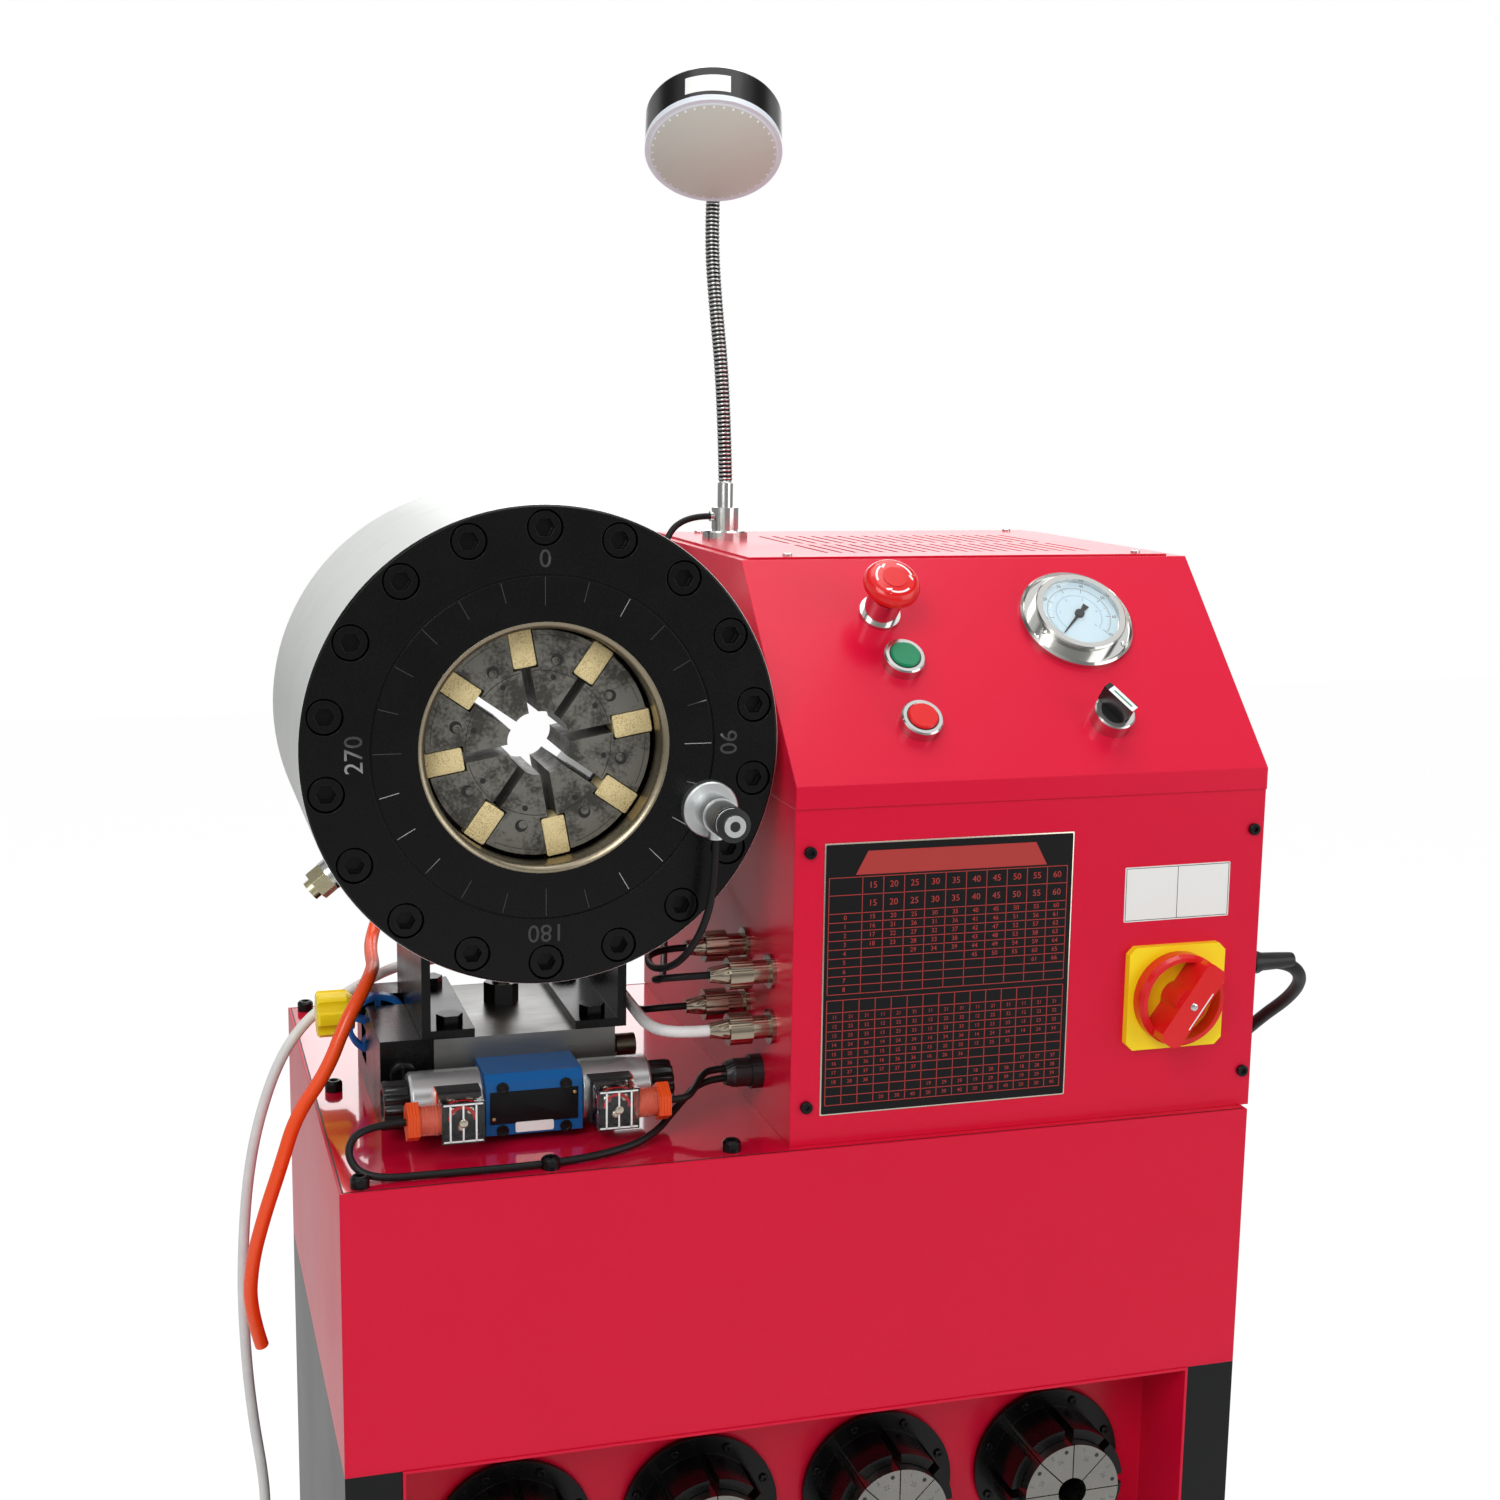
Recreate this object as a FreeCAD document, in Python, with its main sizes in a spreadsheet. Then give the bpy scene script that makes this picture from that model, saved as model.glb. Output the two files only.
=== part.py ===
"""Hose crimping machine: a ring press head and an electrics console on a cabinet of stored dies.

The origin is on the floor at the middle of the four floor bolts.
X points right, Y to the back and Z up, and lengths are in millimetres.
"""
import FreeCAD, Part
import math
import os

import Sketcher
from FreeCAD import Placement, Rotation, Vector

document = FreeCAD.newDocument("hose_crimping_machine")
sheet = document.addObject("Spreadsheet::Sheet", "Sizes")

# Sizes


class Size:
    """A length that knows its value and the formula that ties it to the sheet."""

    def __init__(self, value, formula):
        self.value = value
        self.formula = formula

    def __add__(self, other):
        return Size(self.value + value_of(other), f"({self.formula} + {formula_of(other)})")

    def __radd__(self, other):
        return Size(value_of(other) + self.value, f"({formula_of(other)} + {self.formula})")

    def __sub__(self, other):
        return Size(self.value - value_of(other), f"({self.formula} - {formula_of(other)})")

    def __rsub__(self, other):
        return Size(value_of(other) - self.value, f"({formula_of(other)} - {self.formula})")

    def __mul__(self, other):
        return Size(self.value * value_of(other), f"({self.formula} * {formula_of(other)})")

    def __rmul__(self, other):
        return Size(value_of(other) * self.value, f"({formula_of(other)} * {self.formula})")

    def __truediv__(self, other):
        return Size(self.value / value_of(other), f"({self.formula} / {formula_of(other)})")

    def __neg__(self):
        return Size(-self.value, f"(-{self.formula})")


def value_of(size):
    return size.value if isinstance(size, Size) else float(size)


def formula_of(size):
    return size.formula if isinstance(size, Size) else f"({float(size)!r})"


def root(size):
    return Size(math.sqrt(value_of(size)), f"sqrt({formula_of(size)})")


def driving(name, number):
    """Write one driving dimension into the sheet under its own alias."""
    driving.row += 1
    sheet.set(f"A{driving.row}", name)
    sheet.set(f"B{driving.row}", str(number))
    sheet.setAlias(f"B{driving.row}", name)
    return Size(number, f"Sizes.{name}")


driving.row = 0

# Features

UP = Rotation()
DOWN = Rotation(Vector(1, 0, 0), 180)
RIGHT = Rotation(Vector(0, 1, 0), 90)
LEFT = Rotation(Vector(0, 1, 0), -90)
BACK = Rotation(Vector(1, 0, 0), -90)
FRONT = Rotation(Vector(1, 0, 0), 90)
FULL_TURN = 360


def bind(thing, **sizes):
    for name, size in sizes.items():
        thing.setExpression(name, formula_of(size))
    return thing


def place(thing, at, turn=UP):
    thing.Placement = Placement(Vector(), turn)
    for axis, size in zip("xyz", at):
        thing.setExpression("Placement.Base." + axis, formula_of(size))
    return thing


def block(name, low, size):
    box = document.addObject("Part::Box", name)
    bind(box, Length=size[0], Width=size[1], Height=size[2])
    return place(box, low)


def rod(name, base, radius, length, turn=UP):
    cylinder = document.addObject("Part::Cylinder", name)
    bind(cylinder, Radius=radius, Height=length)
    return place(cylinder, base, turn)


def hexagon(name, base, across, length, turn=UP):
    prism = document.addObject("Part::Prism", name)
    prism.Polygon = 6
    bind(prism, Circumradius=across / math.sqrt(3), Height=length)
    return place(prism, base, turn)


def fuse(name, *pieces):
    joined = document.addObject("Part::MultiFuse", name)
    joined.Shapes = list(pieces)
    return joined


def cut(name, base, *tools):
    tool = tools[0] if len(tools) == 1 else fuse(name + "_tools", *tools)
    result = document.addObject("Part::Cut", name)
    result.Base = base
    result.Tool = tool
    return result


def common(name, base, tool):
    result = document.addObject("Part::Common", name)
    result.Base = base
    result.Tool = tool
    return result


def group(name, *pieces):
    """Separate solids that belong to one sub-part."""
    result = document.addObject("Part::Compound", name)
    result.Links = list(pieces)
    return result


def draw(body, plane, corners, name):
    """A closed outline on one of the body's planes, fixed by its corners.

    A third value in a corner bows the side that starts there, by that much to its left.
    """
    sketch = body.newObject("Sketcher::SketchObject", name)
    support = next(item for item in body.Origin.OriginFeatures if item.Role == plane)
    sketch.AttachmentSupport = [(support, "")]
    sketch.MapMode = "FlatFace"
    ends = []
    count = len(corners)
    for index, corner in enumerate(corners):
        following = corners[(index + 1) % count]
        start = Vector(value_of(corner[0]), value_of(corner[1]), 0)
        end = Vector(value_of(following[0]), value_of(following[1]), 0)
        if len(corner) == 2:
            sketch.addGeometry(Part.LineSegment(start, end), False)
            ends.append((1, 2))
            continue
        bow = corner[2]
        chord = end - start
        middle = (start + end) * 0.5 + Vector(-chord.y, chord.x, 0).normalize() * value_of(bow)
        sketch.addGeometry(Part.Arc(start, middle, end), False)
        ends.append((2, 1) if value_of(bow) > 0 else (1, 2))
        across = following[0] - corner[0]
        along = following[1] - corner[1]
        square = across * across + along * along
        sign = 1 if value_of(bow) > 0 else -1
        radius = (square / (8 * bow) + bow / 2) * sign
        place_of_radius = sketch.addConstraint(Sketcher.Constraint("Radius", index, value_of(radius)))
        sketch.setExpression(f"Constraints[{place_of_radius}]", formula_of(radius))
    for index, corner in enumerate(corners):
        following = (index + 1) % count
        sketch.addConstraint(Sketcher.Constraint("Coincident", index, ends[index][1], following, ends[following][0]))
        for kind, size in (("DistanceX", corner[0]), ("DistanceY", corner[1])):
            rule = Sketcher.Constraint(kind, -1, 1, index, ends[index][0], value_of(size))
            number = sketch.addConstraint(rule)
            sketch.setExpression(f"Constraints[{number}]", formula_of(size))
    return sketch


def turned(name, corners, at, turn=UP):
    """A lathe-turned piece: corners are radius and height along the turning axis."""
    body = document.addObject("PartDesign::Body", name)
    sketch = draw(body, "XZ_Plane", corners, name + "_profile")
    revolution = body.newObject("PartDesign::Revolution", name + "_turned")
    revolution.Profile = sketch
    revolution.ReferenceAxis = (sketch, ["V_Axis"])
    revolution.Angle = FULL_TURN
    return place(body, at, turn)


def pressed(name, corners, depth, at, turn=UP):
    """A plate or profile of one outline, raised by its depth."""
    body = document.addObject("PartDesign::Body", name)
    sketch = draw(body, "XY_Plane", corners, name + "_outline")
    pad = body.newObject("PartDesign::Pad", name + "_pad")
    pad.Profile = sketch
    bind(pad, Length=depth)
    return place(body, at, turn)


def drilled(body, name, offset, radius, depth, copies):
    """A ring of round holes from the body's lower face, spaced round its turning axis."""
    document.recompute()
    before = body.Shape.Volume
    sketch = body.newObject("Sketcher::SketchObject", name + "_circle")
    planes = {item.Role: item for item in body.Origin.OriginFeatures}
    sketch.AttachmentSupport = [(planes["XY_Plane"], "")]
    sketch.MapMode = "FlatFace"
    centre = Vector(0, value_of(offset), 0)
    sketch.addGeometry(Part.Circle(centre, Vector(0, 0, 1), value_of(radius)), False)
    rules = (
        (Sketcher.Constraint("DistanceX", -1, 1, 0, 3, 0.0), 0),
        (Sketcher.Constraint("DistanceY", -1, 1, 0, 3, value_of(offset)), offset),
        (Sketcher.Constraint("Radius", 0, value_of(radius)), radius),
    )
    for rule, size in rules:
        number = sketch.addConstraint(rule)
        sketch.setExpression(f"Constraints[{number}]", formula_of(size))
    pocket = body.newObject("PartDesign::Pocket", name)
    pocket.Profile = sketch
    pocket.Reversed = True
    bind(pocket, Length=depth)
    pattern = body.newObject("PartDesign::PolarPattern", name + "_ring")
    pattern.Originals = [pocket]
    pattern.Axis = (planes["Z_Axis"], [""])
    pattern.Angle = FULL_TURN
    pattern.Occurrences = copies
    body.Tip = pattern
    document.recompute()
    if body.Shape.Volume >= before:
        raise RuntimeError(name + " removed nothing")
    return body


def direction(degrees):
    """Right and up parts of a direction, clockwise from the top as seen from the front."""
    return math.sin(math.radians(degrees)), math.cos(math.radians(degrees))


def clock(degrees):
    """A turn that carries the back-pointing axis pieces round the head's axis."""
    return Rotation(Vector(0, 1, 0), degrees).multiply(BACK)


# Driving dimensions

clearance = 0.3
running_fit = 0.05
sheet_thickness = 2

base_width = 640
base_depth = 414
table_height = 800
tank_height = 192.6
plate_thickness = 6
shelf_width = 16
post_size = 37
post_wall = 3
rail_height = 60
foot_length = 100
foot_width = 60
foot_thickness = 8
floor_bolt_spacing_x = 500
floor_bolt_spacing_y = 354
floor_bolt_radius = 6.5

tray_depth = 62
tray_height = 320
tray_flange = 3
die_pitch = 134
die_row_drop = 92
stand_radius = 57
stand_plate = 6
holder_radius = 44
holder_wall = 7
holder_length = 36
stored_die_radius = 36.5
stored_die_bore = 11
stored_die_length = 45
stored_die_gap = 0.8

head_left = 182
head_rise = 274
head_setback = 30
head_radius = 155
head_length = 219
cap_thickness = 69.5
cap_bore_radius = 77
cap_lip = 3
cap_recess_radius = 129
cap_recess_depth = 14.5
cap_bolt_circle = 140.5
cap_bolt_radius = 7
cap_bolt_head_radius = 10.5
cap_bolt_head_height = 14
cap_bolt_grip = 28
counterbore_radius = 11.75
counterbore_depth = 15
scale_ring_radius = 111
scale_ring_width = 1.6
scale_ring_depth = 1.5
edge_break = 1.5
cylinder_bore = 128
rear_wall = 24
sleeve_radius = 76
passage_radius = 68

jaw_travel = 8
cone_slope = 0.25
jaw_setback = 22
jaw_back = 114
jaw_front_radius = 66
jaw_shoulder_radius = 102
die_radius = 39.6
die_bore = 13
die_length = 70
jaw_side_gap = 0.2
piston_setback = 89
chamber_gap = 2
foam_width = 16
foam_height = 26
foam_depth = 24
foam_inner_radius = 49.5

manifold_width = 126
manifold_depth = 128
manifold_height = 63
manifold_setback = 104
bracket_thickness = 6
bracket_spread = 142
bracket_foot = 36
bracket_depth = 132
bracket_bolt_radius = 5
bracket_bolt_across = 16
bracket_bolt_head = 7

valve_width = 66
valve_depth = 42
valve_height = 41.5
valve_lift = 6.5
valve_shift = 2
valve_chamfer = 5
coil_radius = 20.6
coil_length = 49
coil_nut_radius = 16
coil_nut_length = 17
plug_size = 28
plug_length = 27
plug_base = 9
plug_gland_radius = 10
plug_gland_length = 14
plug_nut_across = 23
plug_nut_length = 8

relief_width = 36
relief_height = 62.5
relief_step_height = 18
relief_depth = 86
handwheel_radius = 22.5
handwheel_thickness = 11
handwheel_height = 46
knob_radius = 17
knob_length = 27
spindle_radius = 5
spindle_length = 12

console_left = 20.7
console_width = 346.6
console_setback = 9.3
console_depth = 408.7
panel_height = 231
lip_height = 15.2
lip_overhang = 1.2
slope_run = 134.1
slope_rise = 137.3
lid_margin = 9
lid_thickness = 1.5
slot_width = 3
slot_length = 78
slot_pitch = 11

control_radius = 11
bezel_radius = 14.75
bezel_height = 9
button_radius = 10.6
button_travel = 3
control_column = 97.5
open_button_up = 47
close_button_up = 99
stop_button_up = 142
stop_button_across = 91
stop_collar_height = 22
stop_head_radius = 20
stop_head_height = 14
stop_travel = 5
gauge_across = 108.1
gauge_up = 132
gauge_flange_radius = 42.5
gauge_case_radius = 34
gauge_height = 13
gauge_dial_radius = 29
gauge_back_length = 30
pointer_length = 22
selector_up = 44.3
selector_length = 25
selector_width = 8
selector_height = 14

isolator_across = 65.6
isolator_up = 86.5
isolator_plate_size = 74
isolator_plate_thickness = 9
isolator_radius = 33
isolator_height = 26
isolator_grip_width = 17

connector_radius = 8
connector_length = 45
gland_radius = 10
connector_near = 45.2
connector_far = 106.7
connector_high = 110
connector_low = 71.5
gland_across = 69.7
gland_up = 31
barb_radius = 5
barb_length = 22

micrometer_across = 108
micrometer_drop = 43
micrometer_disc_radius = 18.5
thimble_radius = 11
thimble_length = 24

lamp_across = 38.7
lamp_back = 317
lamp_foot_radius = 18
lamp_stem_radius = 10.5
lamp_stem_height = 25
lamp_ferrule_height = 19
neck_radius = 4.2
lamp_radius = 52
lamp_band = 34
lamp_dome = 12
lamp_tilt = 40
pin_radius = 3
pin_length = 18

step_length = 29
riser_length = 29
lead_radius = 2.5
white_radius = 4
hose_radius = 5
power_radius = 5
coil_loop_radius = 56
coil_turns = 2

# Every size above becomes a row of the sheet, and from here on carries its formula
SIZE_NAMES = [name for name, value in globals().items() if name.islower() and isinstance(value, (int, float))]
for size_name in SIZE_NAMES:
    globals()[size_name] = driving(size_name, globals()[size_name])

# Reference places

left_side = -base_width / 2
front_side = -base_depth / 2
tank_floor = table_height - tank_height
head_x = -head_left
head_z = table_height + head_rise
head_y = front_side + head_setback
console_x = -console_left
console_y = front_side + console_setback
console_back = console_y + console_depth
console_right = console_x + console_width
# The gauge, the selector below it and the isolator keep their distance from the case's right end
gauge_column = console_width - gauge_across
isolator_x = console_right - isolator_across
isolator_z = table_height + isolator_up
panel_top = table_height + panel_height
slope_foot_y = console_y - lip_overhang
slope_foot_z = panel_top + lip_height
console_top = slope_foot_z + slope_rise
slope_length = root(slope_run * slope_run + slope_rise * slope_rise)
slope_cosine = slope_run / slope_length
slope_sine = slope_rise / slope_length
UP_SLOPE = Rotation(Vector(1, 0, 0), math.degrees(math.atan2(value_of(slope_rise), value_of(slope_run))))
BY_SLOPE = f"atan({formula_of(slope_rise)} / {formula_of(slope_run)})"
manifold_x = head_x - manifold_width / 2
manifold_y = front_side + manifold_setback
manifold_top = table_height + manifold_height


def sloped(name, *pieces):
    """Pieces made flat (across, up, out) and then carried onto the sloping panel."""
    thing = place(group(name, *pieces), (console_x, slope_foot_y, slope_foot_z), UP_SLOPE)
    thing.setExpression("Placement.Rotation.Angle", BY_SLOPE)
    return thing


def spoke_box(name, middle, start, reach, degrees, thickness, depth):
    """A long box that points away from an axis along Y, in a direction clockwise from the top."""
    box = document.addObject("Part::Box", name)
    bind(box, Length=reach, Width=depth, Height=thickness)
    across, up = direction(degrees)
    low_x = middle[0] + start * across + thickness / 2 * up
    low_z = middle[2] + start * up - thickness / 2 * across
    return place(box, (low_x, middle[1], low_z), Rotation(Vector(0, 1, 0), degrees - 90))


# Cabinet


def square_tube(name, low, size, along):
    """A rectangular tube from its low corner, open at both ends."""
    inner_low = [place_of + post_wall for place_of in low]
    inner_size = [length - 2 * post_wall for length in size]
    inner_low[along] = low[along]
    inner_size[along] = size[along]
    return cut(name, block(name + "_outside", low, size), block(name + "_inside", inner_low, inner_size))


def make_stand_frame():
    """Four posts on drilled foot plates, joined by rails and closed by side and back sheets."""
    pieces = []
    holes = []
    post_height = tank_floor - foot_thickness
    right_post = base_width / 2 - post_size
    back_post = base_depth / 2 - post_size
    for side, post_x in (("left", left_side), ("right", right_post)):
        foot_x = left_side if side == "left" else base_width / 2 - foot_length
        for end, post_y in (("front", front_side), ("back", back_post)):
            foot_y = front_side if end == "front" else base_depth / 2 - foot_width
            corner = f"{end}_{side}"
            pieces.append(block("foot_" + corner, (foot_x, foot_y, 0), (foot_length, foot_width, foot_thickness)))
            low = (post_x, post_y, foot_thickness)
            pieces.append(square_tube("post_" + corner, low, (post_size, post_size, post_height), 2))
            hole_x = floor_bolt_spacing_x * (-0.5 if side == "left" else 0.5)
            hole_y = floor_bolt_spacing_y * (-0.5 if end == "front" else 0.5)
            holes.append(rod("floor_hole_" + corner, (hole_x, hole_y, 0), floor_bolt_radius, foot_thickness))
        for level, rail_z in (("low", rail_height), ("high", tank_floor - post_size)):
            low = (post_x, front_side + post_size, rail_z)
            size = (post_size, base_depth - 2 * post_size, post_size)
            pieces.append(square_tube(f"rail_{side}_{level}", low, size, 1))
        sheet_x = left_side if side == "left" else base_width / 2 - sheet_thickness
        low = (sheet_x, front_side + post_size, rail_height + post_size)
        size = (sheet_thickness, base_depth - 2 * post_size, tank_floor - rail_height - 2 * post_size)
        pieces.append(block("sheet_" + side, low, size))
    for level, rail_z in (("low", rail_height), ("high", tank_floor - post_size)):
        for end, rail_y in (("front", front_side + tray_depth + sheet_thickness), ("back", back_post)):
            low = (left_side + post_size, rail_y, rail_z)
            size = (base_width - 2 * post_size, post_size, post_size)
            pieces.append(square_tube(f"rail_{end}_{level}", low, size, 0))
    low = (left_side + post_size, base_depth / 2 - sheet_thickness, rail_height + post_size)
    size = (base_width - 2 * post_size, sheet_thickness, tank_floor - rail_height - 2 * post_size)
    pieces.append(block("sheet_back", low, size))
    return cut("stand_frame", fuse("stand_weldment", *pieces), *holes)


def make_die_tray():
    """A shallow folded tray between the posts, open to the front."""
    width = base_width - 2 * post_size
    low = (left_side + post_size, front_side - tray_flange + sheet_thickness, tank_floor - tray_height)
    outside = block("tray_outside", low, (width, tray_depth + tray_flange, tray_height))
    inner_low = (low[0] + sheet_thickness, low[1] - sheet_thickness, low[2] + sheet_thickness)
    inner_size = (
        width - 2 * sheet_thickness,
        tray_depth + tray_flange,
        tray_height - 2 * sheet_thickness,
    )
    holes = [
        rod(f"stand_hole_{index}", (x, front_side + tray_depth - stand_plate, z), cap_bolt_radius, post_size, BACK)
        for index, (x, z) in enumerate(die_places())
    ]
    return cut("die_tray", outside, block("tray_inside", inner_low, inner_size), *holes)


def die_places():
    """Middles of the stored die sets: two rows of as many as the tray holds side by side."""
    columns = int(value_of((base_width - 2 * post_size) / die_pitch))
    return [
        ((column - (columns - 1) / 2) * die_pitch, tank_floor - die_row_drop - row * die_pitch)
        for row in range(2)
        for column in range(columns)
    ]


def stand_face():
    """The face of the tray's back sheet, where the stands are bolted."""
    return front_side + tray_depth


def make_die_holders():
    """Round stands with eight fingers that hold a stored die set."""
    stands = []
    for index, (x, z) in enumerate(die_places()):
        name = f"stand_{index + 1}"
        corners = [
            (0, -post_wall),
            (cap_bolt_radius - clearance, -post_wall),
            (cap_bolt_radius - clearance, 0),
            (stand_radius - edge_break, 0),
            (stand_radius, edge_break),
            (stand_radius, stand_plate),
            (holder_radius, stand_plate),
            (holder_radius, stand_plate + holder_length),
            (holder_radius - holder_wall, stand_plate + holder_length),
            (holder_radius - holder_wall, stand_plate),
            (0, stand_plate),
        ]
        disc = turned(name + "_disc", corners, (x, stand_face(), z), FRONT)
        low = (x, stand_face() - stand_plate - holder_length, z)
        reach = 2 * holder_radius + 2
        gaps = [
            spoke_box(f"{name}_slot_{turn}", low, -holder_radius - 1, reach, turn * 45, holder_wall, holder_length)
            for turn in range(4)
        ]
        stands.append(cut(name, disc, *gaps))
    return group("die_holders", *stands)


def make_stored_dies():
    """Spare die sets: each a ring of eight segments that sits on its stand."""
    segments = []
    half = 22.5
    for index, (x, z) in enumerate(die_places()):
        outline = [
            (stored_die_bore, 0),
            (stored_die_radius, 0),
            (stored_die_radius, stored_die_length),
            (stored_die_bore, stored_die_length),
        ]
        at = (x, stand_face() - stand_plate, z)
        ring = turned(f"die_set_{index + 1}_ring", outline, at, FRONT)
        for turn in range(8):
            name = f"die_set_{index + 1}_segment_{turn + 1}"
            wedge = sector(name + "_wedge", stored_die_gap / 2, stored_die_radius + 2, stored_die_length + 2, half)
            turn_about = Rotation(Vector(0, 1, 0), turn * 45 + half).multiply(FRONT)
            place(wedge, (at[0], at[1] + 1, at[2]), turn_about)
            segments.append(common(name, ring, wedge))
    return group("stored_dies", *segments)


def sector(name, half_gap, reach, depth, half):
    """A wedge of one eighth of a turn, held back by half a gap from each neighbour."""
    sine = math.sin(math.radians(half))
    tangent = math.tan(math.radians(half))
    apex = half_gap / sine
    far = (reach - apex) * tangent
    return pressed(name, [(0, apex), (far, reach), (-far, reach)], depth, (0, 0, 0))


def make_oil_tank():
    """The red tank under the table: a folded wall with a floor, open at the top, and a shelf for the plate."""
    outside = block("tank_outside", (left_side, front_side, tank_floor), (base_width, base_depth, tank_height))
    low = (left_side + sheet_thickness, front_side + sheet_thickness, tank_floor + sheet_thickness)
    size = (base_width - 2 * sheet_thickness, base_depth - 2 * sheet_thickness, tank_height)
    inside = block("tank_inside", low, size)
    shelf_low = (left_side, front_side, table_height - plate_thickness - sheet_thickness)
    shelf = block("tank_shelf", shelf_low, (base_width, base_depth, sheet_thickness))
    mouth_low = (left_side + shelf_width, front_side + shelf_width, tank_floor + sheet_thickness)
    mouth_size = (base_width - 2 * shelf_width, base_depth - 2 * shelf_width, tank_height)
    shell = cut("tank_shell", outside, inside)
    return cut("oil_tank", fuse("tank_solid", shell, shelf), block("tank_mouth", mouth_low, mouth_size))


def make_top_plate():
    """The table: a plate let into the tank's rim, with a step that rests on the rim's inside."""
    gap = sheet_thickness + clearance
    low = (left_side + gap, front_side + gap, table_height - plate_thickness)
    size = (base_width - 2 * gap, base_depth - 2 * gap, plate_thickness)
    return block("top_plate", low, size)


# Head


def make_front_cap():
    """The heavy front ring: a bevelled bore, a ring groove for the scale and counterbored bolt holes."""
    outer = head_radius
    recess = cap_thickness - cap_recess_depth
    inside = scale_ring_radius - scale_ring_width / 2
    outside = scale_ring_radius + scale_ring_width / 2
    corners = [
        (cap_bore_radius + cap_lip, 0),
        (inside, 0),
        (inside, scale_ring_depth),
        (outside, scale_ring_depth),
        (outside, 0),
        (outer - edge_break, 0),
        (outer, edge_break),
        (outer, cap_thickness),
        (cap_recess_radius, cap_thickness),
        (cap_recess_radius, recess),
        (cap_bore_radius, recess),
        (cap_bore_radius, cap_lip),
    ]
    cap = turned("front_cap", corners, (head_x, head_y, head_z), BACK)
    drilled(cap, "cap_bolt_holes", cap_bolt_circle, cap_bolt_radius + clearance, cap_thickness, BOLTS)
    return drilled(cap, "cap_counterbores", cap_bolt_circle, counterbore_radius, counterbore_depth, BOLTS)


BOLTS = 18
JAWS = 8
JAW_STEP = 45
FIRST_JAW = 12.5
FIRST_GAP = 35


def make_barrel():
    """The cylinder behind the cap: outer wall, back wall and the sleeve that the piston slides on."""
    inner_back = head_length - rear_wall
    corners = [
        (cylinder_bore, cap_thickness),
        (head_radius, cap_thickness),
        (head_radius, head_length - edge_break),
        (head_radius - edge_break, head_length),
        (passage_radius, head_length),
        (passage_radius, jaw_back + clearance),
        (sleeve_radius, jaw_back + clearance),
        (sleeve_radius, inner_back),
        (cylinder_bore, inner_back),
    ]
    barrel = turned("barrel_wall", corners, (head_x, head_y, head_z), BACK)
    holes = []
    for index in range(BOLTS):
        across, up = direction(index * FULL_TURN / BOLTS)
        at = (head_x + cap_bolt_circle * across, head_y + cap_thickness, head_z + cap_bolt_circle * up)
        holes.append(rod(f"thread_{index + 1}", at, cap_bolt_radius + running_fit, cap_bolt_grip + 2, BACK))
    return cut("barrel", barrel, *holes)


def cone_radius(depth):
    """Radius of the wedge cone on the closed jaws, at a depth behind the cap's face."""
    return jaw_shoulder_radius - cone_slope * (depth - (cap_thickness - cap_recess_depth) - clearance)


def make_piston():
    """The ring piston: its inner cone drives all eight jaws inwards as it comes forwards."""
    fit = clearance + running_fit
    stroke = jaw_travel / cone_slope
    cone_back = jaw_back + clearance
    throat = cone_radius(cone_back - stroke) + fit
    land = jaw_back + stroke + chamber_gap - clearance * 2
    inner_back = head_length - rear_wall
    corners = [
        (cone_radius(piston_setback - stroke) + fit, piston_setback),
        (cylinder_bore - running_fit, piston_setback),
        (cylinder_bore - running_fit, inner_back - chamber_gap),
        (sleeve_radius + running_fit, inner_back - chamber_gap),
        (sleeve_radius + running_fit, land),
        (throat, land),
        (throat, cone_back),
    ]
    return turned("piston", corners, (head_x, head_y, head_z), BACK)


def make_cap_screws():
    """Eighteen socket screws that hold the cap to the barrel."""
    screws = []
    for index in range(BOLTS):
        across, up = direction(index * FULL_TURN / BOLTS)
        x = head_x + cap_bolt_circle * across
        z = head_z + cap_bolt_circle * up
        front = head_y + counterbore_depth - cap_bolt_head_height
        name = f"cap_screw_{index + 1}"
        head = rod(name + "_head", (x, front, z), cap_bolt_head_radius, cap_bolt_head_height, BACK)
        grip = cap_bolt_head_height + cap_thickness - counterbore_depth + cap_bolt_grip
        shank = rod(name + "_shank", (x, front, z), cap_bolt_radius, grip, BACK)
        socket = hexagon(name + "_socket", (x, front, z), cap_bolt_radius * 1.6, cap_bolt_head_height / 2, BACK)
        screws.append(cut(name, fuse(name + "_solid", head, shank), socket))
    return group("cap_screws", *screws)


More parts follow.
